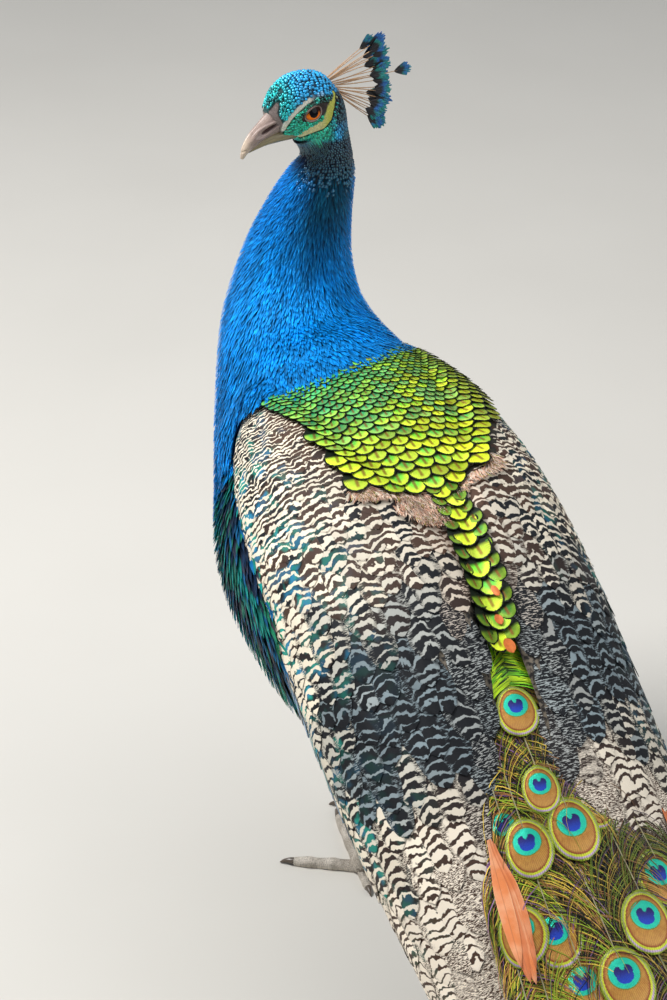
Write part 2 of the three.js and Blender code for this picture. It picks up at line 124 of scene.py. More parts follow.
# The train: centre x, y, z; pitch; half-width; above; below.
TRAIN = [
    (-250, 5, 336, 33, 22, 9, 12),
    (-308, 6, 288, 37, 60, 24, 30),
    (-380, 6, 232, 37, 78, 28, 40),
    (-470, 6, 165, 35, 92, 30, 42),
    (-565, 5, 104, 30, 112, 30, 40),
    (-665, 4, 58, 19, 134, 29, 36),
    (-770, 3, 32, 6, 154, 30, 34),
    (-890, 2, 24, 1, 168, 30, 28),
    (-1040, 0, 18, 0, 174, 30, 22),
    (-1190, 0, 13, 0, 164, 26, 17),
    (-1310, 0, 9, 0, 136, 20, 13),
    (-1385, 0, 6, 0, 96, 14, 10),
    (-1422, 0, 5, 0, 56, 9, 9),
    (-1438, 0, 4, 0, 24, 6, 8),
]
TAIL = [
    (-300, 6, 212, 40, 34, 9, 9),
    (-390, 6, 142, 37, 62, 8, 8),
    (-480, 6, 80, 33, 76, 7, 7),
    (-560, 6, 36, 27, 76, 5, 5),
    (-600, 6, 19, 23, 54, 3, 3),
]
# A leg: x, y outward, z, half-width across, half-width along; then how each foot is moved ahead and outward.
THIGH = [
    (-26, 60, 280, 38, 56),
    (-58, 60, 242, 36, 50),
    (-95, 56, 205, 27, 37),
    (-122, 50, 172, 18, 23),
    (-138, 45, 146, 11, 13),
    (-141, 43, 134, 9, 10),
]
SHANK = [
    (-139, 43, 146, 7, 8),
    (-140, 42, 130, 8.2, 9.8),
    (-134, 41, 112, 5.8, 7),
    (-116, 38, 68, 5, 6.2),
    (-100, 35, 28, 5.8, 7.2),
    (-94, 34, 11, 8, 9),
]
SPUR = [(-126, 35, 88, 4.6, 4.6), (-135, 29, 91, 3.2, 3.2), (-141, 26, 95, 1.6, 1.6),
        (-144, 24, 97, 0.5, 0.5)]
FOOT, HIP, PAD = (-90, 34), 280, 8.5
STANCE = {"left": (-12, -9), "right": (42, 3)}
# Each toe: turn outward, length, half-width, length of its claw.
TOES = {"middle": (-12, 70, 5.6, 15), "inner": (-50, 48, 5, 12), "outer": (56, 56, 5, 12),
        "hind": (168, 27, 4.2, 10)}
TOE_SHAPE = [(0, 1.15), (0.3, 0.92), (0.42, 1.02), (0.66, 0.84), (0.78, 0.95), (1, 0.68)]
CREST = {"shafts": 24, "roots": ((-24, 25), (-31, 9.5)), "angles": (27, -39), "bare": 39, "lone": (2, 57)}

# -------------------- forms to lie on


def axes(yaw, pitch):
    """The way a section faces, its left and its upper side."""
    y, p = np.radians(yaw), np.radians(pitch)
    c, s, cp, sp = np.cos(y), np.sin(y), np.cos(p), np.sin(p)
    return np.array([c * cp, s * cp, sp]), np.array([-s, c, 0.0]), np.array([-c * sp, -s * sp, cp])


def turned(v, axis, angle):
    """v turned about an axis square to it, or partly along it."""
    c, s = np.cos(angle), np.sin(angle)
    return v * c + np.cross(axis, v) * s + axis * (axis @ v) * (1 - c)


FACING, _left, _up = axes(HEAD_YAW, HEAD_PITCH)
HEAD_LEFT = turned(_left, FACING, np.radians(HEAD_ROLL))
HEAD_UP = turned(_up, FACING, np.radians(HEAD_ROLL))


def head_point(ahead, above, aside=0.0):
    """A point in the head's frame."""
    a, b, c = (np.asarray(x, float)[..., None] for x in (ahead, above, aside))
    return np.array(HEAD_CENTRE, float) + FACING * a + HEAD_UP * b + HEAD_LEFT * c


def head_place(p):
    """How far ahead, above and aside of the head's centre a point is."""
    d = p - np.array(HEAD_CENTRE, float)
    return d @ FACING, d @ HEAD_UP, d @ HEAD_LEFT


def tilted(x, y, tilt):
    """A place in a plane, turned by some degrees."""
    c, s = np.cos(np.radians(tilt)), np.sin(np.radians(tilt))
    return x * c - y * s, x * s + y * c


def unit(v):
    """v at a length of 1, along the last axis."""
    return v / np.maximum(np.linalg.norm(v, axis=-1, keepdims=True), 1e-9)


def grid(s, a):
    """Every place of s with every one of a, as two tables."""
    return np.meshgrid(s, a, indexing="ij")


def turns(count):
    """Angles of one turn, evenly spaced."""
    return np.arange(count) / count * 2 * np.pi


def smooth(value, low, high):
    """0 below low and 1 above high, easing in between."""
    t = np.clip((value - low) / (high - low), 0, 1)
    return t * t * (3 - 2 * t)


def curve(knots, values, x):
    """A cubic through the values at the knots, its slope at each that of the line joining its neighbours."""
    k, v = np.asarray(knots, float), np.asarray(values, float)
    x = np.asarray(x, float)
    i = np.clip(np.searchsorted(k, x, side="right") - 1, 0, len(k) - 2)
    before, after = np.maximum(i - 1, 0), np.minimum(i + 2, len(k) - 1)
    span = k[i + 1] - k[i]
    t = (x - k[i]) / span
    rise = v[i + 1] - v[i]
    lean = (v[i + 1] - v[before]) * span / (k[i + 1] - k[before]) - rise
    ease = rise - (v[after] - v[i]) * span / (k[after] - k[i])
    return v[i] + rise * t + t * (1 - t) * (lean * (1 - t) + ease * t)


class Form:
    """A smooth form through oval sections. A place on it is a distance s along it and an angle a round
    it, in radians: 0 is its left side and a quarter turn its top. Between two sections every point
    follows a cubic."""

    def __init__(self, sections):
        columns = [np.array([section[i] for section in sections], float) for i in range(7)]
        self.centre, self.left, self.up, self.wide, self.above, self.below, self.start = columns
        self.knots = np.concatenate([[0.0], np.cumsum(np.linalg.norm(np.diff(self.centre, axis=0), axis=1))])
        self.length = self.knots[-1]

    def ring(self, i, a):
        t = a + self.start[i]
        high = np.where(np.sin(t) > 0, self.above[i], self.below[i])
        side = self.left[i] * (self.wide[i] * np.cos(t))[..., None]
        return self.centre[i] + side + self.up[i] * (high * np.sin(t))[..., None]

    def point(self, s, a):
        s, a = np.broadcast_arrays(np.asarray(s, float), np.asarray(a, float))
        k, last = self.knots, len(self.knots) - 1
        i = np.clip(np.searchsorted(k, s, side="right") - 1, 0, last - 1)
        before, after = np.maximum(i - 1, 0), np.minimum(i + 2, last)
        p0, p1, p2, p3 = (self.ring(j, a) for j in (before, i, i + 1, after))
        span = (k[i + 1] - k[i])[..., None]
        t = (s[..., None] - k[i][..., None]) / span
        rise = p2 - p1
        lean = (p2 - p0) * span / (k[i + 1] - k[before])[..., None] - rise
        ease = rise - (p3 - p1) * span / (k[after] - k[i])[..., None]
        return p1 + rise * t + t * (1 - t) * (lean * (1 - t) + ease * t)

    def slopes(self, s, a):
        """How a place moves for each millimetre along the form and each radian round it."""
        s, a = np.broadcast_arrays(np.asarray(s, float), np.asarray(a, float))
        low, high = np.clip(s - 0.5, 0, self.length - 1), np.clip(s + 0.5, 1, self.length)
        along = (self.point(high, a) - self.point(low, a)) / (high - low)[..., None]
        return along, (self.point(s, a + 0.01) - self.point(s, a - 0.01)) / 0.02

    def normal(self, s, a):
        """The outward way, square to the form."""
        s = np.clip(s, 0, self.length)
        along, around = self.slopes(s, a)
        n = unit(np.cross(around, along))
        i = np.clip(np.searchsorted(self.knots, s, side="right") - 1, 0, len(self.knots) - 2)
        t = ((s - self.knots[i]) / (self.knots[i + 1] - self.knots[i]))[..., None]
        middle = self.centre[i] * (1 - t) + self.centre[i + 1] * t
        return n * np.where(((self.point(s, a) - middle) * n).sum(-1, keepdims=True) < 0, -1.0, 1.0)

    def row(self, s, low, high, wide, offset=0.5):
        """Angles spaced evenly by length round the form at s, about `wide` apart."""
        fine = np.linspace(low, high, 160)
        p = self.point(np.full_like(fine, s), fine)
        run = np.concatenate([[0.0], np.cumsum(np.linalg.norm(np.diff(p, axis=0), axis=1))])
        count = max(1, int(round(run[-1] / wide)))
        return np.interp((np.arange(count) + offset) / count * run[-1], run, fine)


def level_form(rows):
    """A form through rows of centre, [yaw,] pitch, half-width, above[, below]."""
    sections = []
    for x, y, z, *rest in rows:
        yaw, pitch, wide, above, below = (
            rest if len(rest) == 5 else (0, *rest) if len(rest) == 4 else (0, *rest, rest[-1])
        )
        _, left, up = axes(yaw, pitch)
        sections.append(((x, y, z), left, up, wide, above, below, 0.0))
    return sections


def head_sections(rows, start=0.0):
    """Sections from rows in the head's frame."""
    sections = []
    for ahead, above, turn, wide, top, bottom in rows:
        t = np.radians(turn)
        up = HEAD_UP * np.cos(t) - FACING * np.sin(t)
        sections.append((head_point(ahead, above), HEAD_LEFT, up, wide, top, bottom, np.radians(start)))
    return sections


def limb_form(rows):
    """A form through rows of x, y, z, half-width across and along, each section square to the line
    through them."""
    centres = np.array([row[:3] for row in rows], float)
    sections = []
    for i, (x, y, z, across, along) in enumerate(rows):
        line = centres[min(i + 1, len(rows) - 1)] - centres[max(i - 1, 0)]
        line = unit(line)
        flat = np.array([0.0, 1.0, 0.0]) if abs(line[2]) > 0.7 else np.array([-line[1], line[0], 0.0])
        side = unit(flat - line * (line @ flat))
        sections.append(((x, y, z), side, np.cross(side, line), across, along, along, 0.0))
    return Form(sections)


body = Form(level_form(BODY) + head_sections(HEAD, -HEAD_YAW))
flank = Form(level_form(FLANK))
train = Form(level_form(TRAIN))
tail = Form(level_form(TAIL))
RAD = np.pi / 180
# Where skin and beads end under the bill's horn.
SKIN_END = body.length - 0.3


def mirror(a, side):
    """An angle round the flank as it is on the left, for side 1, or on the right, for side -1."""
    return a if side > 0 else np.pi - a


def wing_edges(s, right=False):
    """The angles of a wing's lower and upper edge, as on the left, and its thickness, at distances along
    the flank."""
    along = np.clip(s / flank.length, WING[0, 0], WING[-1, 0])
    low, left, other, thick = (curve(WING[:, 0], WING[:, i], along) for i in (1, 2, 3, 4))
    return low * RAD, np.where(right, other, left) * RAD, thick


def wing_height(s, a):
    """How high the wings stand over the flank: full between their edges, falling to nothing a little
    beyond them."""
    right = a > np.pi / 2
    a = np.where(right, np.pi - a, a)
    low, high, thick = wing_edges(s, right)
    v = (a - low) / (high - low)
    crown = 4.5 + (thick - 5.5) * np.sqrt(np.sin(np.pi * np.clip(v, 0, 1)))
    beyond = np.maximum(np.maximum(low - a, a - high), 0) / RAD
    ends = np.maximum(np.maximum(WING[0, 0] - s / flank.length, s / flank.length - WING[-1, 0]), 0) * 100
    return crown * (1 - smooth(beyond, 0, 5)) * (1 - smooth(ends, 0, 4))


# -------------------- mesh pieces

SHIFT = np.array((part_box("eye_left")[0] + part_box("eye_left")[1]) / 2) * 1000
SHIFT = SHIFT - head_point(EYE["ahead"], EYE["above"], EYE["aside"])
SHIFT[2] = 0.0


def linear(colour):
    """A colour written as 0xRRGGBB as the amounts of light that a material uses."""
    c = np.array([(colour >> 16) & 255, (colour >> 8) & 255, colour & 255]) / 255
    return np.where(c <= 0.04045, c / 12.92, ((c + 0.055) / 1.055) ** 2.4)


def drawn(pick, *steps):
    """For each pick the colour of the first step (limit, colour) whose limit is above it, or else the
    last colour."""
    limits = [limit for limit, _ in steps[:-1]]
    return np.stack([linear(colour) for _, colour in steps])[np.searchsorted(limits, pick, side="right")]


def layered(places, base, *layers):
    """A colour at each place: a base, one colour or many, then layers of (share, colour), each over the
    last."""
    colour = np.broadcast_to(linear(base) if isinstance(base, int) else base, (*places, 3))
    for share, over in layers:
        share = np.broadcast_to(share, places)[..., None]
        colour = colour * (1 - share) + linear(over) * share
    return colour


def linked(name, data, place=None):
    """A new object in the scene; place gives the ways of its x, y and z and where it stands."""
    thing = bpy.data.objects.new(name, data)
    bpy.context.scene.collection.objects.link(thing)
    if place is not None:
        matrix = np.eye(4)
        matrix[:3] = np.stack(place, -1)
        thing.matrix_world = Matrix(matrix.tolist())
    return thing


def put(name, points, quads, material, tris=None, uvs=None, values=None, tints=None, replaces=()):
    """A mesh piece from points in millimetres, four-sided faces and, where given, three-sided ones. uvs
    are by point, or by corner, and one named lie isn't kept; values and tints are numbers and colours by
    point."""
    points = (np.asarray(points, float).reshape(-1, 3) + SHIFT) / 1000
    quads = np.asarray(quads, np.int32).reshape(-1, 4)
    tris = np.zeros((0, 3), np.int32) if tris is None else np.asarray(tris, np.int32).reshape(-1, 3)
    corners = np.concatenate([quads.ravel(), tris.ravel()]).astype(np.int32)
    starts = np.concatenate(
        [np.arange(len(quads)) * 4, len(quads) * 4 + np.arange(len(tris)) * 3]
    ).astype(np.int32)
    mesh = bpy.data.meshes.new(name)
    mesh.vertices.add(len(points))
    mesh.vertices.foreach_set("co", points.astype(np.float32).ravel())
    mesh.loops.add(len(corners))
    mesh.loops.foreach_set("vertex_index", corners)
    mesh.polygons.add(len(starts))
    mesh.polygons.foreach_set("loop_start", starts)
    mesh.update(calc_edges=True)
    for key, uv in (uvs or {}).items():
        if key == "lie":
            continue
        uv = np.asarray(uv, np.float32).reshape(-1, 2)
        uv = uv[corners] if len(uv) == len(points) else uv
        mesh.uv_layers.new(name=key).data.foreach_set("uv", uv.ravel())
    for key, value in (values or {}).items():
        value = np.asarray(value, np.float32).ravel()
        mesh.attributes.new(key, "FLOAT", "POINT").data.foreach_set("value", value)
    for key, tint in (tints or {}).items():
        tint = np.asarray(tint, np.float32).reshape(-1, 3)
        rgba = np.concatenate([tint, np.ones((len(tint), 1), np.float32)], 1)
        mesh.attributes.new(key, "FLOAT_COLOR", "POINT").data.foreach_set("color", rgba.ravel())
    mesh.shade_smooth()
    mesh.materials.append(material)
    piece = linked(name, mesh)
    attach(piece, "root")
    if replaces:
        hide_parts(*replaces)
    return piece


def sheet_faces(count, rows, columns, flip=False):
    """Four-sided faces of `count` separate sheets, each of rows by columns of points."""
    i, j = grid(np.arange(rows - 1), np.arange(columns - 1))
    a = (i * columns + j).ravel()
    face = np.stack([a, a + 1, a + 1 + columns, a + columns], -1)
    face = face[:, ::-1] if flip else face
    return (np.arange(count)[:, None, None] * rows * columns + face).reshape(-1, 4)


def band_faces(count, around):
    """Four-sided faces between `count` closed rings of `around` points each."""
    i, j = grid(np.arange(count - 1), np.arange(around))
    a, b = (i * around + j).ravel(), (i * around + (j + 1) % around).ravel()
    return np.stack([a, b, b + around, a + around], -1)


def shell(rings):
    """Points, four-sided and three-sided faces of a closed shell over rings of points, capped to their
    centres."""
    count, around, _ = rings.shape
    quads = band_faces(count, around)
    hubs = np.stack([rings[0].mean(0), rings[-1].mean(0)])
    k = np.arange(around)
    top = (count - 1) * around
    tris = np.concatenate([
        np.stack([np.full(around, count * around), (k + 1) % around, k], -1),
        np.stack([np.full(around, count * around + 1), top + k, top + (k + 1) % around], -1),
    ])
    points = np.concatenate([rings.reshape(-1, 3), hubs])
    p0, p1, p2 = (points[quads[:, c]] for c in (0, 1, 2))
    volume = (np.cross(p0, p1) * p2).sum()
    if volume < 0:
        quads, tris = quads[:, ::-1], tris[:, ::-1]
    return points, quads, tris


# Outlines of a feather: its half-width, for 1 at its widest, along it from 0 at the root to 1 at the tip.


def half_round(u):
    return np.sqrt(np.maximum(1 - u**2, 0.0))


def rounded(u):
    return np.where(u < 0.5, 0.55 + 0.45 * smooth(u, 0, 0.5), half_round((u - 0.5) / 0.5001))


def pointed(u):
    return np.where(u < 0.35, 0.5 + 0.5 * smooth(u, 0, 0.35), np.maximum(1 - ((u - 0.35) / 0.66) ** 1.6, 0.0))


def oval(u):
    return np.sqrt(np.maximum(1 - (2 * u - 1) ** 2 * 0.985, 0.0))


def lance(u):
    return np.where(
        u < 0.45, 0.16 + 0.84 * smooth(u, 0, 0.45), np.maximum(1 - ((u - 0.45) / 0.55) ** 2.6, 0.0) ** 0.8
    )


def strap(u):
    return np.where(u < 0.8, 0.6 + 0.4 * smooth(u, 0, 0.3), half_round((u - 0.8) / 0.2001))


def feathers(form, s, a, long, half, lift, way=-1, turn=0.0, camber=0.0, curl=0.0, rows=4, columns=3,
             outline=pointed, ground=None, patch=(0.003, 0.003), floor=0.6, dome=0.0):
    """Leaves of feather lying on a form. u runs along each from its root to its tip and v across it. A
    point is carried from the root by its length and half-width along and round the form, then stands off
    it by a height that goes from lift[0] at the root to lift[1] at the tip as u to the power 1.5, less
    `camber` at its sides, plus `curl` at the very tip and a dome, sin(pi u) (1 - v squared), over all of
    it. Returns points, faces, uvs and the feather that each point belongs to; the uv named lie is the
    place on the form, in decimetres and radians."""
    s, a, long, half, turn, curl = (
        np.broadcast_to(np.asarray(x, float), np.shape(s)) for x in (s, a, long, half, turn, curl)
    )
    lift0, lift1 = (np.broadcast_to(np.asarray(x, float), np.shape(s))[:, None, None] for x in lift)
    u = np.linspace(0, 1, rows)[None, :, None]
    v = np.linspace(-1, 1, columns)[None, None, :]
    width = outline(u)
    along = long[:, None, None] * u + 0 * v
    across = half[:, None, None] * width * v
    c, t = np.cos(turn)[:, None, None], np.sin(turn)[:, None, None]
    per_s, per_a = form.slopes(np.clip(s + way * long * 0.4, 0, form.length), a)
    per_s = np.linalg.norm(per_s, axis=-1)[:, None, None]
    per_a = np.maximum(np.linalg.norm(per_a, axis=-1), 4.0)[:, None, None]
    place_s = s[:, None, None] + way * (along * c - across * t) / per_s
    place_a = a[:, None, None] + (across * c + along * t) / per_a
    inside = np.clip(place_s, 0, form.length)
    beyond = (place_s - inside)[..., None]
    out = form.normal(inside, place_a)
    per, _ = form.slopes(inside, place_a)
    height = lift0 + (lift1 - lift0) * u**1.5 - camber * v * v * u + curl[:, None, None] * u**4
    height = height + dome * np.sin(np.pi * u) * (1 - v * v)
    if ground is not None:
        height = height + ground(inside, place_a)
    points = form.point(inside, place_a) + per * beyond + out * height[..., None]
    points[..., 2] = np.maximum(points[..., 2], floor)
    edge1 = points[:, 1, :-1] - points[:, 0, :-1]
    edge2 = points[:, 0, 1:] - points[:, 0, :-1]
    flip = (np.cross(edge2, edge1) * out[:, 0, :-1]).sum() < 0
    faces = sheet_faces(len(s), rows, columns, flip)
    vane = np.stack(np.broadcast_arrays(0.5 + 0.5 * v * width, u), -1)
    vane = np.broadcast_to(vane, (len(s), rows, columns, 2))
    size = np.stack(np.broadcast_arrays(half[:, None, None] * width * v / 100, along / 100), -1)
    s_low, s_high, a_low, a_high = s.min(), s.max(), a.min(), a.max()
    wide, tall = (np.broadcast_to(np.asarray(x, float), np.shape(s))[:, None, None] for x in patch)
    bake_u = 0.03 + 0.94 * (a - a_low) / max(a_high - a_low, 1e-6)
    bake_v = 0.03 + 0.94 * (s - s_low) / max(s_high - s_low, 1e-6)
    bake = np.stack(
        np.broadcast_arrays(
            bake_u[:, None, None] + wide * v * width / 2, bake_v[:, None, None] + tall * (u - 0.5)
        ), -1
    )
    owner = np.repeat(np.arange(len(s)), rows * columns)
    lie = np.stack([place_s / 100, place_a], -1)
    return (points.reshape(-1, 3), faces,
            {"vane": vane, "size": size, "lie": lie, "OFBake": np.clip(bake, 0.001, 0.999)}, owner)


# -------------------- finishes


class Amount:
    """What a node gives at each place. + - * and abs of it make nodes of their own."""

    def __init__(self, finish, socket):
        self.maths, self.socket = finish.maths, socket

    def __add__(self, other):
        return self.maths("ADD", self, other)

    def __radd__(self, other):
        return self.maths("ADD", other, self)

    def __sub__(self, other):
        return self.maths("SUBTRACT", self, other)

    def __rsub__(self, other):
        return self.maths("SUBTRACT", other, self)

    def __mul__(self, other):
        return self.maths("MULTIPLY", self, other)

    def __abs__(self):
        return self.maths("ABSOLUTE", self)


class Finish:
    """One material, made node by node."""

    def __init__(self, name, **sockets):
        self.material = bpy.data.materials.new(name)
        self.material.use_nodes = True
        self.tree = self.material.node_tree
        self.shader = next(n for n in self.tree.nodes if n.type == "BSDF_PRINCIPLED")
        for key, value in sockets.items():
            self.shader.inputs[key.replace("_", " ")].default_value = value

    def node(self, kind, inputs=(), **settings):
        made = self.tree.nodes.new("ShaderNode" + kind)
        for key, value in settings.items():
            setattr(made, key, value)
        for socket, value in zip(made.inputs, inputs):
            self.join(value, socket)
        return made

    def given(self, output, kind, inputs=(), **settings):
        """What a new node gives at one of its outputs."""
        return Amount(self, self.node(kind, inputs, **settings).outputs[output])

    def join(self, value, socket):
        if isinstance(value, Amount):
            self.tree.links.new(value.socket, socket)
        else:
            socket.default_value = value

    def maths(self, operation, *values):
        return self.given(0, "Math", values, operation=operation)

    def sway(self, scale, detail):
        """Noise about 0, from -0.5 to 0.5."""
        return self.noise(scale, detail) - 0.5

    def lines(self, run):
        """Waves from 0 to 1, one for every full turn of run, in radians."""
        return 0.5 + self.maths("SINE", run) * 0.5

    def rise(self, value, low, high):
        """0 below low and 1 above high."""
        return self.given(0, "MapRange", (value, low, high, 0.0, 1.0), interpolation_type="SMOOTHSTEP")

    def fall(self, value, low, high):
        """1 below low and 0 above high."""
        return self.given(0, "MapRange", (value, low, high, 1.0, 0.0), interpolation_type="SMOOTHSTEP")

    def mix(self, share, a, b):
        made = self.node("Mix", data_type="RGBA", blend_type="MIX", clamp_factor=True)
        self.join(share, made.inputs[0])
        for value, socket in ((a, made.inputs[6]), (b, made.inputs[7])):
            self.join((*linear(value), 1) if isinstance(value, int) else value, socket)
        return Amount(self, made.outputs[2])

    def noise(self, scale, detail=2.0, vector=None, rough=0.5):
        vector = vector or self.given("Object", "TexCoord")
        made = self.node("TexNoise", noise_dimensions="3D")
        self.join(vector, made.inputs["Vector"])
        for key, value in (("Scale", scale), ("Detail", detail), ("Roughness", rough)):
            made.inputs[key].default_value = value
        return Amount(self, made.outputs[0])

    def uv(self, name):
        made = self.node("SeparateXYZ", (self.given(0, "UVMap", uv_map=name),))
        return Amount(self, made.outputs[0]), Amount(self, made.outputs[1])

    def vector(self, x, y, z=0.0):
        return self.given(0, "CombineXYZ", (x, y, z))

    def value(self, name):
        return self.given("Fac", "Attribute", attribute_name=name)

    def tint(self, name):
        return self.given("Color", "Attribute", attribute_name=name)

    def colour(self, value):
        self.join(value, self.shader.inputs["Base Color"])

    def bump(self, height, distance, strength=1.0):
        made = self.node("Bump")
        made.inputs["Strength"].default_value = strength
        made.inputs["Distance"].default_value = distance / 1000
        self.join(height, made.inputs["Height"])
        self.join(Amount(self, made.outputs[0]), self.shader.inputs["Normal"])


def plain(name, rough, scale, detail, one, other):
    """A finish of two colours, mixed by noise."""
    f = Finish(name, Roughness=rough)
    f.colour(f.mix(f.noise(scale, detail), one, other))
    return f.material


def barb_lines(finish, pitch, slant=1.1):
    """Fine lines that leave a feather's shaft at a slant on both sides, `pitch` millimetres apart, from 0
    to 1."""
    x, y = finish.uv("size")
    x = abs(x)
    run = y * (100 / pitch) + x * (-100 * slant / pitch)
    return finish.lines(run * (2 * np.pi))


# -------------------- skin and markings

STRIPE = [(27.2, -6.4), (25.9, -2.4), (21.9, 3.2), (16.6, 7.6), (11.5, 11), (7.9, 12.6), (1.7, 15.4),
          (-3.8, 16.3)]
CRESCENT = [(-18, 14.4), (-14.8, 9.4), (-11.2, 4.2), (-8.2, -1.6), (-2.6, -6.6), (3.8, -8.7), (8.6, -10.4),
            (11.6, -12.8)]
HORN_EDGE = [(26, 21), (28.5, 14.9), (29.5, 11), (30.6, 7.2), (29.9, 4), (28.5, 1), (27, -2.4), (26.2, -7)]


def distance_to(line, x, y):
    """How far points are from a line through a few places, and how far along it, from 0 to 1, the nearest
    lies."""
    best, along = np.full(np.shape(x), 1e9), np.zeros(np.shape(x))
    line = np.asarray(line, float)
    for i in range(len(line) - 1):
        d = line[i + 1] - line[i]
        t = np.clip(((x - line[i, 0]) * d[0] + (y - line[i, 1]) * d[1]) / (d @ d), 0, 1)
        gap = np.hypot(x - line[i, 0] - t * d[0], y - line[i, 1] - t * d[1])
        nearer = gap < best
        best, along = np.where(nearer, gap, best), np.where(nearer, (i + t) / (len(line) - 1), along)
    return best, along


def lid_place(p, side):
    """A point's place about an eye: 1 at the edge of the lids' opening and more outside it; its distance
    from the eye's centre; and how far outward of the centre it lies, as a share of that distance."""
    centre = head_point(EYE["ahead"], EYE["above"], EYE["aside"] * side)
    d = p - centre
    r = np.maximum(np.linalg.norm(d, axis=-1), 1e-6)
    x, y, out = d @ FACING, d @ HEAD_UP, (d @ HEAD_LEFT) * side
    flat = np.maximum(np.hypot(x, y), 1e-6)
    arc = np.arctan2(flat, out) * EYE["radius"] / flat
    x, y = tilted(x * arc - LIDS["ahead"], y * arc - LIDS["above"], LIDS["tilt"])
    rho = (np.abs(x / LIDS["long"]) ** 1.8 + np.abs(y / LIDS["high"]) ** 2.0) ** (1 / 1.9)
    return rho, r, (d @ HEAD_LEFT) * side / r


def lids_at(p, aside):
    """A point's place about the lids of the eye on its own side of the head."""
    return np.minimum(lid_place(p, 1)[0] + (aside < 0) * 9, lid_place(p, -1)[0] + (aside > 0) * 9)


def face_line(ahead):
    """How far above the head's centre the green of the face reaches."""
    return np.interp(ahead, [-8, 2, 8, 16, 22, 27], [16, 14.5, 12, 7.5, 3, -4])


def bare_skin(ahead, above, aside):
    """Where the face is bare: the white stripe from bill to brow, and the yellowish crescent under the
    eye."""
    gap, along = distance_to(STRIPE, ahead, above)
    stripe = (1 - smooth(gap, 1.5, 2.1)) * (1 - 0.8 * smooth(along, 0.75, 0.92))
    gap, along = distance_to(CRESCENT, ahead, above)
    wide = 1.1 + 2.0 * np.sin(np.pi * np.clip(along * 0.74 + 0.09, 0, 1)) ** 0.7
    crescent = 1 - smooth(gap, wide, wide + 0.6)
    beside = np.abs(aside) > 5
    return stripe * beside, crescent * beside


def horn_plate(ahead, above, aside):
    """Where the bill's horn runs up over the forehead's side as a plate with a corner at its top."""
    edge = np.interp(above, [h[1] for h in HORN_EDGE[::-1]], [h[0] for h in HORN_EDGE[::-1]])
    middle = np.interp(above, [2, 8, 15], [0.5, 3.5, 6.5])
    return (smooth(ahead - edge, 0, 0.6) * smooth(np.abs(aside), middle, middle + 1)
            * smooth(15.5 - above, 0, 1))


def head_colour(p):
    """Turquoise blue crown, greener by the bill; green cheeks; black behind the eye and the crescent;
    deep blue throat, painted nearly black with shade under the head."""
    ahead, above, aside = head_place(p)
    shape = ahead.shape
    green = smooth(ahead, 12, 28) * smooth(above, -30, 0)
    line = face_line(ahead)
    face = smooth(line - above, 0, 2) * smooth(ahead, -16, -6) * smooth(above, -24, -15)
    behind = (smooth(-9 - ahead, 0, 6) * smooth(18 - above, 0, 5) * smooth(above, -16, -3)
              * smooth(np.abs(aside), 5, 11))
    corner = smooth(9 - ahead, 0, 5) * smooth(line - above, -1, 1) * smooth(above - 0.3 * ahead, 4.2, 6.5)
    loral = (smooth(ahead, 9, 12) * smooth(24 - ahead, 0, 6)
             * (1 - smooth(np.abs(above - (4.4 - 0.62 * (ahead - 12))), 0.5, 1.5)))
    rear = smooth(-14 - ahead, 0, 10)
    # The throat's near-black is partly its own deep blue and partly painted shade under the head.
    throat = smooth(-16.5 - above, 0, 4)
    colour = layered(shape, 0x16A4E4, (green, 0x12BCC0), (rear * 0.6, 0x0A70B4), (face, 0x14BE90),
                     (rear * smooth(-4 - above, 0, 12), 0x064A5C), (throat, 0x031C3A))
    colour = layered(shape, colour, (np.clip(np.maximum(behind, corner), 0, 1) * 0.93, 0x04100C),
                     (loral * 0.85, 0x041210))
    stripe, crescent = bare_skin(ahead, above, aside)
    plate = horn_plate(ahead, above, aside)
    return layered(shape, colour, (stripe, 0xEFECDA), (crescent, 0xEADFA4),
                   (crescent * smooth(2 - ahead, 0, 12), 0xC6C850), (plate * (1 - stripe), 0x8E7F7A))


def neck_colour(s, a):
    """Azure, painted deeper on the left front as shade that offsets the key lamp, which falls strongest
    there;
    teal and dark at the back of the upper neck; green-blue at its root; deep blue breast; dark green belly
    and flanks."""
    a = (a + np.pi) % (2 * np.pi) - np.pi
    shape = s.shape
    back = smooth(np.sin(a), 0.45, 0.95)
    upper = smooth(s, 500, 590)
    low = smooth(318 - s, 0, 80)
    belly = smooth(235 - s, 0, 90)
    # Painted shade: the left front, where the key lamp falls strongest, is painted a deeper blue to offset
    # that light.
    front = smooth(np.cos(a + 0.9), 0.2, 0.9)
    colour = layered(
        shape, 0x009AF4, (front, 0x0084D8), (upper * 0.5, 0x0078D8), (back * upper * 0.9, 0x054A62),
        (smooth(s, 592, 618) * smooth(np.sin(a), -0.5, 0.5), 0x065C78)
    )
    return layered(shape, colour, (low * 0.6, 0x0A6ABE), (belly, 0x07302E))


def coat_colour(s, a):
    """The markings of the coat on the body form, for skin and feathers alike."""
    p = body.point(s, a)
    head = smooth(s, 596, 618)[..., None]
    return neck_colour(s, a) * (1 - head) + head_colour(p) * head


def skin_depth(s):
    """How far the skin lies under the form: deep under the trunk's coat, less on the neck, least on the
    head."""
    return curve([0, 120, 300, 420, 560, 600, 640, 690], [6, 9, 7, 4.5, 3.2, 2.2, 1.1, 0.9], s)


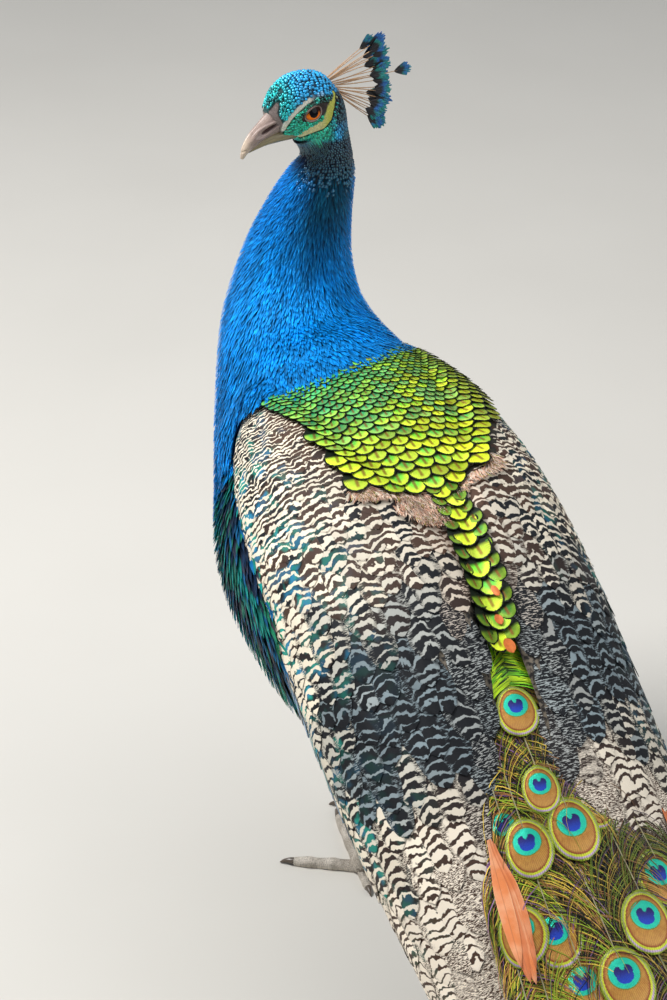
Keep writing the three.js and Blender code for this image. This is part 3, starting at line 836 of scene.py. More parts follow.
def skin_point(s, a):
    """The skin: the body form let in by the coat's depth, swelling over the eyes as lids and open in
    front of them."""
    p = body.point(s, a)
    bare = np.clip(sum(bare_skin(*head_place(p))), 0, 1) * smooth(s, 600, 612)
    p = p - body.normal(s, a) * (skin_depth(s) * (1 - 0.85 * bare))[..., None]
    for side in (1, -1):
        rho, r, outward = lid_place(p, side)
        centre = head_point(EYE["ahead"], EYE["above"], EYE["aside"] * side)
        lid = EYE["radius"] + 0.15
        swell = (r + lid + np.sqrt((r - lid) ** 2 + 1.6)) / 2
        near = smooth(outward, 0.05, 0.35) * (1 - smooth(r, 13, 18))
        target = np.where(rho < 1.12, EYE["radius"] - 1.5, swell)
        p = centre + (p - centre) * (1 + (target / r - 1) * near)[..., None]
    return p


def make_skin():
    """The one skin over trunk, neck and head: rings from rump to bill, close together on the head."""
    s = np.concatenate(
        [np.linspace(0.5, 570, 96), np.linspace(572, 600, 16), np.linspace(600.6, SKIN_END, 176)]
    )
    around = 300
    a = turns(around)
    S, A = grid(s, a)
    rings = skin_point(S, A)
    points, quads, tris = shell(rings)
    colour = coat_colour(S, A)
    ahead, above, aside = head_place(rings)
    bare = sum(bare_skin(ahead, above, aside)) * smooth(S, 600, 612)
    lids = 1 - smooth(np.where(S > 600, lids_at(rings, aside), 9), 1.3, 1.42)
    bare = np.clip(bare + horn_plate(ahead, above, aside) * (S > 600), 0, 1)
    # Painted shade: where the coat covers the skin its colour is cut to 16 per cent, so the gaps between
    # feathers and beads show dark.
    colour = layered(S.shape, colour * (0.16 + 0.84 * bare)[..., None], (lids * (1 - bare), 0x2A1D18))
    colour = np.concatenate([colour.reshape(-1, 3), colour[0].mean(0)[None], colour[-1].mean(0)[None]])
    bare = np.concatenate([bare.ravel(), [0, 0]])
    # The unwrap runs the angle across and the distance along, with the head given the upper half.
    ring_v = np.interp(s, [0, 600, body.length], [0.01, 0.45, 0.99])
    corner = np.concatenate([quads.ravel(), tris.ravel()])
    ring = np.minimum(corner // around, len(s) - 1)
    step = corner % around
    edge = np.concatenate(
        [np.repeat((quads % around == around - 1).any(1) & (quads % around == 0).any(1), 4),
         np.repeat((tris[:, 1:] % around == 0).any(1) & (tris[:, 1:] % around == around - 1).any(1), 3)]
    )
    u = (step + np.where(edge & (step == 0), around, 0)) / around
    hub = corner >= len(s) * around
    v = np.where(hub, np.where(corner == len(s) * around, 0.003, 0.997), ring_v[ring])
    uv = np.stack([np.where(hub, 0.5, u), v], -1)
    put("skin", points, quads, skin_finish(), tris, {"OFBake": uv}, {"bare": bare}, {"tint": colour},
        ("trunk", "neck_lower", "neck_upper", "head"))


def skin_finish():
    """Matt skin in the coat's colours, which its tint holds darkened as painted shade wherever feathers cover
    it; finely grained, pebbled where the face is bare.
    """
    f = Finish("skin", Roughness=0.6)
    grain = f.noise(900, 3)
    f.colour(f.mix(f.rise(grain, 0.3, 0.75), f.mix(0.35, f.tint("tint"), 0x050505), f.tint("tint")))
    f.bump(grain, 0.25, 0.5)
    return f.material


# -------------------- the small coat


def plume_finish(name, roughness, metallic, pitch, sheen=0.0, deep=0.3):
    """A glossy feather: its own colour, with painted shade darkening it towards the root that the next
    feather covers, fine barbs `pitch` millimetres apart and a raised shaft."""
    f = Finish(name, Roughness=roughness, Metallic=metallic, Sheen_Weight=sheen, Sheen_Roughness=0.4,
               Specular_IOR_Level=0.2)
    x, y = f.uv("vane")
    side = abs(x - 0.5)
    lines = barb_lines(f, pitch)
    # Painted shade: the colour falls to the share `deep` at the covered root.
    shade = f.rise(y, 0.1, 0.75) * (1 - deep) + deep
    shade = shade * (0.78 + lines * 0.22)
    shade = shade * (0.8 + f.noise(260, 2) * 0.4)
    f.colour(f.mix(shade, 0x000000, f.tint("tint")))
    f.bump(lines + f.fall(side, 0.0, 0.12) * 1.5, 0.12, 0.6)
    return f.material


def small_coat(
    name, s, a, wide, long, material, seed, lift, tint, form=body, way=-1, vary=0.16, camber=0.6, rows=4,
    columns=3, outline=pointed, curl=0.0, spread=0.12, ground=None, dome=0.0
):
    """Many small feathers as one piece, each a little different in size, lie and shade."""
    chance = np.random.default_rng(seed)
    n = len(s)
    size = 1 + vary * chance.uniform(-1, 1, n)
    turn = spread * chance.normal(0, 1, n)
    raised = chance.random(n)
    points, faces, uvs, owner = feathers(
        form, s, a, long * size, wide * size / 2, (lift[0], lift[1] + lift[2] * raised), way, turn, camber,
        curl * chance.uniform(0.3, 1.2, n), rows, columns, outline, ground, dome=dome
    )
    shade = np.clip(1 + 0.22 * chance.normal(0, 1, n), 0.45, 1.7)[:, None]
    return put(name, points, faces, material, None, uvs, {"place": chance.random(n)[owner]},
               {"tint": (tint * shade)[owner]})


def scattered(form, s_low, s_high, deep, wide, a_low, a_high, seed, jitter=0.3):
    """Places in staggered rows `deep` apart, `wide(s)` apart in each row, all nudged a little."""
    chance = np.random.default_rng(seed)
    rows_s, s = [], s_low
    while s < s_high:
        rows_s.append(s)
        s += deep(s)
    got_s, got_a, got_w = [], [], []
    for i, s in enumerate(rows_s):
        a = form.row(s, a_low, a_high, wide(s), 0.25 + 0.5 * (i % 2))
        got_s.append(np.full(len(a), s) + jitter * deep(s) * chance.uniform(-1, 1, len(a)))
        got_a.append(a + jitter * (a_high - a_low) / max(len(a), 1) * chance.uniform(-1, 1, len(a)))
        got_w.append(np.full(len(a), wide(s)))
    return (np.clip(np.concatenate(got_s), form.knots[0] + 0.1, form.length - 0.1), np.concatenate(got_a),
            np.concatenate(got_w))


def bead_finish():
    """A small curled feather like a bead, with a painted highlight on its crown and painted shade round its
    edge.
    """
    f = Finish("head_beads", Roughness=0.3, Metallic=0.35, Coat_Weight=0.25, Coat_Roughness=0.2)
    x, y = f.uv("vane")
    x, y = (x - 0.5) * 2.0, (y - 0.45) * 2.0
    out = f.maths("SQRT", x * x + y * y)
    # Painted shade: each bead's edge is darkened towards black.
    colour = f.mix(f.rise(out, 0.5, 1.05), f.tint("tint"), f.mix(0.7, f.tint("tint"), 0x02101A))
    # Painted highlight: a pale cyan spot on the bead's crown.
    f.colour(f.mix(f.fall(out, 0.0, 0.6) * 0.4, colour, f.mix(0.45, f.tint("tint"), 0x8FF0F4)))
    return f.material


def make_head_coat():
    """Small curled feathers, like beads, all over the head but for its bare skin and the eyes; finer on
    the face."""
    material = bead_finish()
    for name, deep, across, size, dome, seed in (
        ("crown_beads", 1.85, 2.05, 1.3, 1.0, 11), ("face_beads", 1.3, 1.45, 1.0, 0.95, 13)
    ):
        s, a, wide = scattered(
            body, 574, SKIN_END, lambda s: deep, lambda s: across, 0, 2 * np.pi, seed, 0.25
        )
        some = np.random.default_rng(seed + 2).random(len(s)) < bead_share(s, a) * 1.02
        s, a = s[some], a[some]
        p = body.point(s, a)
        ahead, above, aside = head_place(p)
        stripe, crescent = bare_skin(ahead, above, aside)
        face = (above < face_line(ahead)) & (ahead > -13 - 0.4 * (above + 10)) | (ahead > 27)
        keep = ((stripe < 0.3) & (crescent < 0.3) & (lids_at(p, aside) > 1.3)
                & (horn_plate(ahead, above, aside) < 0.3))
        keep &= ~((above < -12.5) & (above > -16.5) & (ahead > 14))
        keep &= face if name == "face_beads" else ~face
        s, a = s[keep], a[keep]
        pick = np.random.default_rng(seed + 3).random(len(s))[:, None]
        tint = coat_colour(s, a)
        if name == "face_beads":
            bright = 0.5 * smooth(body_above(s, a), -19, -14)[:, None]
            tint = np.where(pick < 0.3, tint * 0.35,
                            np.where(pick > 0.8, tint * 0.6 + linear(0x38E8D4) * bright, tint))
        small_coat(name, s, a, 2 * size, 2.35 * size, material, seed + 1, (-0.35, 0.1, 0.25), tint, rows=5,
                   columns=5, camber=0.1, outline=oval, spread=0.2, vary=0.16,
                   dome=dome)


def body_above(s, a):
    """How far above the head's centre a place on the body form is."""
    return head_place(body.point(s, a))[1]


def bead_share(s, a):
    """How far the nape's feathers are still like beads: wholly at the head, then fewer down the back of
    the neck."""
    return smooth(s, 588, 616) * np.maximum(smooth(np.sin(a), 0.1, 0.7), smooth(s, 616, 626))


def make_neck_coat():
    """Fine velvety feathers round the neck, from the head down to the shoulders and the breast, and on
    over the wings' front and up to the scales of the back."""
    wide = lambda s: np.interp(s, [330, 400, 470, 560, 610], [3.4, 2.9, 2.5, 2.1, 1.8])
    deep = lambda s: np.interp(s, [330, 400, 470, 560, 610], [4.0, 3.5, 3.0, 2.4, 2.0])
    s, a, w = scattered(body, 322, 624, deep, wide, 0, 2 * np.pi, 21)
    chance = np.random.default_rng(22)
    keep = chance.random(len(s)) > bead_share(s, a) * 0.85
    s, a, w = s[keep], a[keep], w[keep]
    lift = np.interp(s, [340, 470, 600], [0.7, 0.5, 0.3])
    material = plume_finish("neck_plume", 0.5, 0.35, 0.7, deep=0.55)
    tint = coat_colour(s, a)
    streak = np.sin(a * 9 + 0.8 * np.sin(s / 31)) * np.sin(s / 23 + a * 3) + chance.normal(0, 0.5, len(s))
    tint = tint * (1 + 0.2 * streak)[:, None].clip(0.6, 1.5)
    tint = tint + linear(0x37B4E6) * (0.16 * (chance.random(len(s)) > 0.86))[:, None]
    small_coat("neck_coat", s, a, w * 0.95, w * 4.3, material, 23, (-2.2, lift, 0.35), tint, camber=0.2,
               spread=0.09, outline=pointed)

    # The lowest rows lie on the form of the back, over the front of wings and mantle.
    s, a, w = scattered(flank, 3, 84, lambda s: 3.4, lambda s: 3.2, 10 * RAD, 168 * RAD, 24)
    angle = a / RAD
    stop = np.where(
        angle < 50,
        np.interp(angle, [10, 22, 25.5, 27.5, 31.5, 38, 45.5, 50], [96, 92, 86, 75, 68, 64, 64, 66]),
        mantle_start(angle) + 6
    )
    stop = np.where(angle > 146, np.interp(angle, [146, 168], [12, 20]), stop)
    keep = (s < stop - 8 + 3 * chance.uniform(-1, 1, len(s))) & (s > stop - 62)
    s, a, w = s[keep], a[keep], w[keep]
    tint = (np.broadcast_to(linear(0x0690E4), (len(s), 3))
            * (1 + 0.16 * chance.normal(0, 1, len(s)))[:, None].clip(0.6, 1.5))
    ground = lambda s, a: np.maximum(wing_height(s, a), 1.4) + 0.4
    small_coat("neck_rim", s, a, w * 0.95, w * 4.2, material, 25, (-1.2, 1.4, 0.5), tint, flank, 1,
               camber=0.2, spread=0.1, ground=ground)


def make_body_coat():
    """Broader feathers on breast, belly and flanks, deep blue in front, then green and brown-black in
    streaks."""
    wide = lambda s: np.interp(s, [0, 60, 250, 350], [6.5, 7, 5.6, 3.8])
    deep = lambda s: np.interp(s, [0, 60, 250, 350], [6, 7, 6, 4.2])
    s, a, w = scattered(body, 2, 340, deep, wide, -1.28 * np.pi, 0.28 * np.pi, 31)
    chance = np.random.default_rng(32)
    tint = coat_colour(s, a)
    n = len(s)
    band = np.sin(a * 13 + s / 60) + 0.6 * np.sin(a * 31 - s / 35)
    pick = chance.random(n) + 0.3 * band
    streak = drawn(pick, (0.25, 0x10907C), (0.48, 0x187A4A), (0.72, 0x0C5E8A), (0.86, 0x3A2C20),
                   (1, 0x100C0A))
    share = smooth(352 - s + 22 * np.cos(a + 0.4), 0, 34)[:, None] * 0.9
    tint = tint * (1 - share) + streak * share
    vent = smooth(60 - s, 0, 40)[:, None]
    tint = tint * (1 - vent) + linear(0x3A2F25) * vent
    material = plume_finish("body_plume", 0.5, 0.3, 0.9, deep=0.45)
    small_coat("body_coat", s, a, w * 1.05, w * 5.0, material, 33, (-5.0, 0.0, 1.3), tint, camber=0.3,
               rows=6, outline=pointed, spread=0.08)


# -------------------- back and shoulders


# How many brown wisps lie beside the scales, and where the last scales of the strip have copper spots.
WISPS = 3000
COPPER_SPOTS = np.array([318.0, 300, 280])


def mantle_half(s):
    """How far the mantle's scales reach to either side of its middle line, in degrees, along the flank."""
    return np.interp(
        s, [0, 30, 62, 96, 141, 168, 184, 190, 195, 205, 230], [62, 54, 42, 32, 27, 26, 25.5, 22, 7, 4, 0]
    )


def mantle_right(s):
    """How much farther its scales reach on the right, in degrees."""
    return np.interp(s, [0, 30, 62, 96, 120, 141, 168, 182, 190], [-2, 8, 18, 22, 19, 12, 3, -3, -8])


def mantle_middle(s):
    """The angle, in degrees, of the mantle's middle line, which bends as its strip runs between the wings."""
    return np.interp(s, [0, 190, 210, 247, 276, 305, 333, 363], [92, 93, 96, 95.4, 94, 92, 90, 86.7])


def mantle_start(a):
    """Where the neck's blue ends and the mantle starts, by the angle in degrees."""
    return np.interp(a, [48, 50, 62, 77, 95, 112, 130, 146], [62, 58, 56, 54, 44, 30, 14, 6])


def mantle_finish():
    """A round scale of a feather: gold-green with fine barbs that fan from its root, a bronze stripe down the
    middle, a thin black rim and painted shade over the root half that the row above covers."""
    f = Finish("mantle_scale", Roughness=0.42, Metallic=0.3, Specular_IOR_Level=0.25)
    x, y = f.uv("vane")
    x = (x - 0.5) * 2
    up = f.maths("MAXIMUM", y - 0.5, 0.0) * 2
    edge = f.maths("SQRT", x * x + up * up)
    edge = edge + f.sway(700, 2) * 0.12
    fan = f.maths("ARCTAN2", x, y - 0.25)
    lines = f.lines(fan * 60)
    green = f.tint("tint")
    colour = f.mix(f.rise(edge, 0.3, 0.75) * (0.25 + f.noise(230, 2) * 1.0), green, f.tint("glow"))
    stripe = f.fall(abs(x), 0.04, 0.2) * f.fall(y, 0.76, 0.88)
    colour = f.mix(stripe * 0.8, colour, 0x8A4A1C)
    colour = f.mix(f.fall(lines, 0.0, 0.8) * (f.noise(300, 2) * 0.8), colour, 0x0A3A14)
    # Painted shade: the root half of the scale, under the row above, goes nearly black.
    colour = f.mix(f.fall(y, 0.4, 0.58), colour, 0x0B1608)
    colour = f.mix(f.rise(edge, 0.83, 0.88), colour, 0x020402)
    f.colour(colour)
    f.bump(lines, 0.12, 0.6)
    return f.material


def make_mantle():
    """The scaled back: regular staggered rows of round feathers, growing from the collar down, then a
    narrow strip of them that runs on between the wings to the train."""
    got, s, row = [], 2.0, 0
    while s < 326:
        wide = np.interp(s, [0, 50, 100, 150, 190, 215, 345], [7.2, 8.8, 12, 16.5, 18.5, 16.5, 19])
        deep = wide * np.interp(s, [0, 190, 215, 345], [0.5, 0.5, 0.62, 0.85])
        _, per_a = flank.slopes(np.array([s]), np.array([np.pi / 2]))
        step = wide * 0.9 / (np.linalg.norm(per_a[0]) + 4) / RAD
        middle = mantle_middle(s)
        if s < 200:
            a = middle + (np.arange(-40, 41) + (0.5 if row % 2 else 0.0)) * step
            a = a[(a - middle > -mantle_half(s) - 2.5) & (a - middle < mantle_half(s) + mantle_right(s))
                  & (mantle_start(a) < s + 3)]
        else:
            a = middle + np.array([-0.52, 0.52, 0.12 * (-1) ** row]) * step
        under = np.where(np.arange(len(a)) < 2, 1.0, 0.0) * (s >= 200)
        got.append(np.stack(np.broadcast_arrays(s, a, wide, step, deep, under), -1))
        s += deep
        row += 1
    s, a, wide, step, deep, under = np.concatenate(got).T
    chance = np.random.default_rng(41)
    n = len(s)
    share_s, share_a = 0.94 / (s.max() - s.min()), 0.94 / (a.max() - a.min())
    a = a + step * 0.07 * chance.uniform(-1, 1, n)
    s = s + deep * 0.1 * chance.uniform(-1, 1, n) - under * deep * 0.3
    wide = wide * (1 - 0.2 * smooth(a - mantle_middle(s), 12, 40)) * (1 - 0.25 * under)
    left = smooth(mantle_middle(s) - a, -16, 16)
    upper = smooth(120 - s, 0, 90)
    gold, teal = chance.random(n), chance.random(n)
    right = smooth(a - mantle_middle(s), 24, 44)
    lower = smooth(s, 110, 165)
    # The bright yellows that these layers and the glows below give the scales on and right of the middle line
    # are partly the scales' own gold and partly painted sunlight.
    tint = layered(
        (n,), 0x84F02E, (0.8 * (gold > 0.4) * (1 - left) * (1 - 0.5 * upper), 0xE2F020),
        (left * (0.45 + 0.55 * upper) * (1 - 0.5 * lower), 0x04AE6E), (0.6 * upper * (1 - left), 0x38C83C),
        (0.8 * (teal > 0.5) * (1 - right) * (1 - 0.7 * lower), 0x0AA878),
        (0.7 * upper * (teal < 0.14), 0xA8662A), (0.6 * lower * (gold > 0.3), 0xEEFA2A),
        (0.8 * right, 0x48661A), (0.85 * under, 0x2C5A20)
    )
    glow = layered(
        (n,), 0xF2FF40, (left * (0.35 + 0.65 * upper) * 0.9 * (1 - lower), 0x3CE488),
        (0.4 * upper, 0x86EC48), (0.65 * right, 0x8A8420),
        (0.55 * (teal > 0.5) * (1 - right) * (1 - 0.8 * lower), 0x1CC484), (0.75 * under, 0x4C8A24)
    )
    spread = (1 + 0.2 * chance.normal(0, 1, n))[:, None].clip(0.5, 1.6)
    ground = lambda s, a: np.maximum(wing_height(s, a), 1.0) + 0.4
    turn = (a - mantle_middle(s)) * RAD * 0.25
    long = wide * np.interp(s, [0, 190, 345], [1.4, 1.4, 1.55])
    lift = (-1.0 + 0 * s, np.interp(s, [0, 200], [1.2, 1.9]) + 0.6 * chance.random(n) - 0.9 * under)
    points, faces, uvs, owner = feathers(
        flank, s - long * 0.62, a * RAD, long, wide * 0.55, lift, 1, turn, 0.3, 0, 8, 7, rounded, ground,
        (step * share_a * 0.6, deep * share_s * 0.6)
    )
    put("mantle", points, faces, mantle_finish(), None, uvs, None,
        {"tint": (tint * spread)[owner], "glow": (glow * spread)[owner]})
    s, a = COPPER_SPOTS, mantle_middle(COPPER_SPOTS) + np.array([0.6, -0.4, 0.8])
    points, faces, uvs, _ = feathers(
        flank, s, a * RAD, np.array([12.0, 8.5, 9.5]), np.array([3.6, 2.8, 2.2]), (2.7, 3.7), 1, 0.1, 0.3,
        0, 8, 7, oval, ground, (0.2, 0.2)
    )
    copper = Finish("copper_spot", Roughness=0.45, Metallic=0.25)
    copper.colour(copper.mix(copper.noise(500, 2), 0xE07A2E, 0xA85020))
    put("mantle_spots", points, faces, copper.material, None, uvs)

    # A soft brown fringe between scales and wings, in fine wisps.
    n = WISPS
    side = np.where(np.arange(n) % 5 > 0, 1.0, -1.0)
    s = np.where(side > 0, 178 + 42 * chance.random(n) ** 1.1, 178 + 20 * chance.random(n))
    beyond = (chance.uniform(-2.5, 1, n)
              + np.interp(s, [178, 190, 205, 222], [1, 5, 15, 8]) * np.where(side > 0, 1.0, 0.25)
              * chance.random(n) ** 1.2)
    a = mantle_middle(s) - side * (np.maximum(mantle_half(s), 5.5) + beyond)
    pick = chance.random(n)
    tint = drawn(pick, (0.4, 0xE4B498), (0.55, 0x7A5240), (0.9, 0xF8E6D2), (1, 0x9C9A3C))
    wisp = plume_finish("mantle_fringe", 0.7, 0.0, 1.0, deep=0.7)
    cover = lambda s, a: np.maximum(wing_height(s, a), 1.0) - 0.4
    small_coat("mantle_wisps", s, a * RAD, np.full(n, 0.9), np.full(n, 10.0), wisp, 43, (-1.6, 0.4, 1.2),
               tint, flank, 1, camber=0.1, spread=0.35, ground=cover)
    # The bed under the scales: the flank form between two angles, closed below.
    ring_s = np.linspace(6, 322, 60)
    across = np.linspace(0, 1, 25)
    half = np.minimum(mantle_half(ring_s), 48) + 3
    half = half[:, None] + np.maximum(mantle_right(ring_s), 0)[:, None] * (across > 0.5)
    angle = (mantle_middle(ring_s)[:, None] + half * (2 * across - 1)) * RAD
    S = np.broadcast_to(ring_s[:, None], angle.shape)
    top = (flank.point(S, angle)
           + flank.normal(S, angle) * (np.maximum(wing_height(S, angle) - 2.2, -0.6) - 0.5)[..., None])
    under = flank.point(S, angle) - flank.normal(S, angle) * 9
    rings = np.concatenate([top, under[:, ::-1]], 1)
    points, quads, tris = shell(rings)
    bed = plain("mantle_bed", 0.7, 400, 3, 0x141810, 0x3A3424)
    put("mantle_bed", points, quads, bed, tris)


# -------------------- wings


def covert_finish():
    """A covert barred across in cream and brown-black; the tint paints some of the cream blue-grey, as
    shade cooled by the sky, across the middle of the wing. The bars run on from feather to feather, bowed
    on each and bent in waves, or loosely where the feathers are broad; some feathers are finely mottled
    instead; the dark bars gleam green and blue in places."""
    f = Finish("wing_covert", Roughness=0.6, Specular_IOR_Level=0.25)
    x, y = f.uv("size")
    seed = f.value("place") * 37.0
    own = (f.value("place") - 0.5) * f.value("loose")
    wave = f.sway(85, 2)
    ripple = f.sway(320, 2)
    bow = x * x * f.value("bow")
    swing = f.sway(38, 1)
    bend = (wave * 0.12 + ripple * 0.04 + swing * 0.15 + bow) * f.value("bars")
    phase = f.maths("FRACT", f.value("count") + bend + own + 64.0)
    tri = abs(phase - 0.5) * 2
    duty = f.value("dark") + f.sway(120, 2) * 1.0
    pale = f.rise(tri - duty, -0.06, 0.06)
    close = 1.0 + f.value("rear") * 0.7
    worm = f.rise(f.noise(50, 2, f.vector(x * 0.55 * close, y * 2.3 * close, seed), 0.6),
                  0.53 + f.value("rear") * -0.05, 0.58 + f.value("rear") * -0.05)
    side = abs(f.uv("vane")[0] - 0.5) * 2
    fray = f.rise(side + f.sway(130, 2) * 0.9, 0.5, 0.8) * f.value("loose")
    fine = f.maths("MAXIMUM", f.value("fine"), fray)
    pattern = pale * (1.0 - fine) + worm * fine
    glint = f.rise(f.noise(60, 2), 0.48, 0.62) * f.value("glint")
    dark = f.mix(
        glint, f.mix(f.value("warm"), 0x0C1016, 0x523A2C),
        f.mix(f.rise(f.noise(80, 1), 0.44, 0.6), 0x1C9C8A, f.mix(f.value("rear"), 0x2684AC, 0x2A6A48))
    )
    colour = f.mix(pattern, dark, f.tint("tint"))
    lines = barb_lines(f, 0.55, 1.4)
    colour = f.mix(lines * 0.12, colour, 0x1A1512)
    f.colour(colour)
    f.bump(lines, 0.08, 0.4)
    return f.material


# Bars across the wing: place along the flank, and how many bars there are to a decimetre.
BARS = [(60, 28), (95, 25), (130, 20), (180, 16), (270, 12.5), (400, 12.5), (500, 15), (620, 20)]


def bar_count(s):
    """How many bars lie between the shoulder and a place along the wing: the sum of bars per decimetre up
    to it."""
    at = np.linspace(0, 700, 701)
    total = np.concatenate([[0], np.cumsum(np.interp(at[:-1], *zip(*BARS)) / 100)])
    return np.interp(s, at, total)


# The rows of coverts, by the place along the flank: a feather's width, the gap to the next row for a
# width of 1, and how many degrees a row passes the wing's lower and upper edge.
COVERT_WIDTH = ([30, 90, 180, 260, 420, 560], [7.5, 9.5, 12.5, 18, 21, 20])
COVERT_GAP = ([30, 120, 260, 560], [0.65, 0.75, 1.1, 1.2])
COVERTS_LOW = ([62, 100, 180, 320, 420], [-2.5, -3.5, -3, -3, 1])
COVERTS_HIGH = ([62, 120, 190, 245, 280, 345, 400], [5, 7, 8, 7, -4, -7, -1])


def make_wing(name, side, material, edge_material):
    """One wing: a closed bed like the folded wing's own body, rows of coverts that grow from shoulder to
    tip, and a row of blue-green feathers along its lower edge."""
    rings_s = np.linspace(WING[0, 0], WING[-1, 0], 60) * flank.length
    v = np.linspace(0.0, 1.0, 23)
    low, high, thick = wing_edges(rings_s, side < 0)
    angle = low[:, None] + (high - low)[:, None] * v
    S = np.broadcast_to(rings_s[:, None], angle.shape)
    height = 1.8 + (thick[:, None] - 7) * np.sqrt(np.sin(np.pi * np.clip(v, 0, 1)))
    angle = mirror(angle, side)
    out = flank.normal(S, angle)
    top = flank.point(S, angle) + out * height[..., None]
    under = flank.point(S, angle) - out * (2.5 * np.sin(np.pi * v))[None, :, None]
    points, quads, tris = shell(np.concatenate([top, under[:, -2:0:-1]], 1))
    bed = Finish("wing_bed_" + name, Roughness=0.7)
    bed.colour(bed.mix(bed.rise(bed.noise(300, 3), 0.4, 0.6), 0x15110F, 0x6E6456))
    put("wing_bed_" + name, points, quads, bed.material, tris, replaces=("wing_" + name,))

    chance = np.random.default_rng(51 if side > 0 else 52)
    got, s, row = [], 62.0, 0
    while s < flank.length * 0.955:
        wide = np.interp(s, *COVERT_WIDTH)
        deep = wide * np.interp(s, *COVERT_GAP)
        low, high, _ = wing_edges(np.array([s]), side < 0)
        low = low[0] + np.interp(s, *COVERTS_LOW) * RAD
        high = high[0] + np.interp(s, *COVERTS_HIGH) * RAD
        a = flank.row(s, low, high, wide * 0.8, 0.25 + 0.5 * (row % 2))
        share, step = (a - low) / (high - low), (high - low) / len(a)
        got.append(np.stack(np.broadcast_arrays(s, a, wide, share, step, deep), -1))
        s += deep
        row += 1
    s, a, wide, across, gap, deep = np.concatenate(got).T
    n = len(s)
    broad = smooth(s, 190, 290)
    share_s, share_a = 0.94 / (s.max() - s.min()), 0.94 / (a.max() - a.min())
    s = s + deep * (0.1 + 0.12 * broad) * chance.uniform(-1, 1, n)
    a = a + gap * 0.16 * chance.uniform(-1, 1, n)
    size = 1 + 0.1 * chance.uniform(-1, 1, n)
    long = (wide + deep * 1.45) * size
    turn = (0.22 * (across - 0.55)) + 0.06 * chance.normal(0, 1, n)
    ends = (s - long * 0.3).clip(0)
    ground = lambda s, a: wing_height(s, a) - 3.0
    lift = (-0.6 + 0 * s, 0.5 + (0.3 + 0.9 * broad) * chance.uniform(0.3, 1, n))
    points, faces, uvs, owner = feathers(
        flank, ends, mirror(a, side), long, wide * 0.56 * size, lift, 1, turn * side, 0.45, 0, 10, 5,
        rounded, ground, (gap * share_a * 0.92, deep * share_s * 0.92)
    )
    inner = smooth(across, 0.86, 0.96)
    near_s, near_across = s + 14 * chance.normal(0, 1, n), across + 0.07 * chance.normal(0, 1, n)
    rear = smooth(near_s, 375, 445)
    fore = smooth(180 - near_s, 0, 90)
    middle = (1 - fore) * (1 - rear)
    bold = (smooth(near_s, 225, 300) * (1 - smooth(near_s, 355, 415)) * smooth(near_across, 0.12, 0.42)
            * (1 - 0.8 * inner))
    fine = smooth(
        inner * smooth(s, 215, 280)
        + smooth(near_s, 400, 470) * smooth(near_across, 0.74 - 0.2 * rear, 1.0 - 0.2 * rear)
        - chance.uniform(0.25, 0.75, n), -0.1, 0.1
    )
    dark = (0.57 + 0.16 * bold - 0.22 * rear
            - 0.3 * smooth(0.35 - across, 0, 0.25) * (1 - fore) * (1 - rear)
            + 0.16 * fore * smooth(across, 0.35, 0.7) + 0.06 * chance.normal(0, 1, n))
    warm = np.clip(
        fore * smooth(across, 0.25, 0.7) + inner * (1 - rear) * smooth(290 - s, 0, 60) + 0.8 * rear
        + 0.7 * middle * smooth(280 - s, 0, 50) * (chance.random(n) > 0.4), 0, 1
    )
    # The pale bars are cream; the blue-grey of the bold rows and of the inner edge is cream painted as if in
    # shade, cooled by the sky.
    pale = layered(
        (n,), 0xF2E6CE, (0.95 * bold, 0x7A8C94),
        (0.5 * middle * (1 - bold) * smooth(near_across, 0.4, 0.8), 0xA8A096),
        (0.6 * inner * smooth(s, 120, 200), 0xCDB29E),
        (0.9 * inner * smooth(s, 255, 320) * (1 - rear), 0x9AA6A8), (rear * 0.85, 0xFAECD8)
    )
    pale = pale * (1 + 0.07 * chance.normal(0, 1, n))[:, None].clip(0.7, 1.3)
    glint = np.clip(
        smooth(0.75 - across, 0, 0.45) * (1 - 0.85 * bold) * (1 - 0.7 * rear)
        * (0.3 + 0.8 * chance.random(n)), 0, 1
    )
    run = uvs["lie"].reshape(-1, 2)[:, 0] * 100
    bars = np.interp(run, *zip(*BARS))
    values = {"place": chance.random(n)[owner], "count": bar_count(run), "bars": bars,
              "bow": np.interp(s, [60, 260], [-9, -5])[owner], "loose": (0.05 + 0.75 * broad)[owner],
              "dark": dark[owner], "fine": fine[owner], "glint": glint[owner], "warm": warm[owner],
              "rear": rear[owner]}
    put("wing_coverts_" + name, points, faces, material, None, uvs, values, {"tint": pale[owner]})

    edge_s = np.linspace(176, 560, 66)
    low, _, _ = wing_edges(edge_s, side < 0)
    edge_s, low = np.repeat(edge_s, 2), np.repeat(low, 2) + np.tile([-3.4, -0.8], 66) * RAD
    m = len(edge_s)
    points, faces, uvs, owner = feathers(
        flank, edge_s + chance.uniform(-2, 2, m), mirror(low, side), 34 + 8 * chance.random(m),
        5.5 + 1.5 * chance.random(m), (-1.5, 1.0), 1, -0.1 * side, 0.8, 0, 6, 4, strap,
        lambda s, a: np.maximum(wing_height(s, a) - 2.0, 0.5), (0.012, 0.006)
    )
    pick = chance.random(m)
    tint = drawn(pick, (0.4, 0x0E6F9A), (0.7, 0x0F7A6E), (0.85, 0x12365A), (1, 0x101010))
    put("wing_edge_" + name, points, faces, edge_material, None, uvs, None, {"tint": tint[owner]})


# -------------------- train

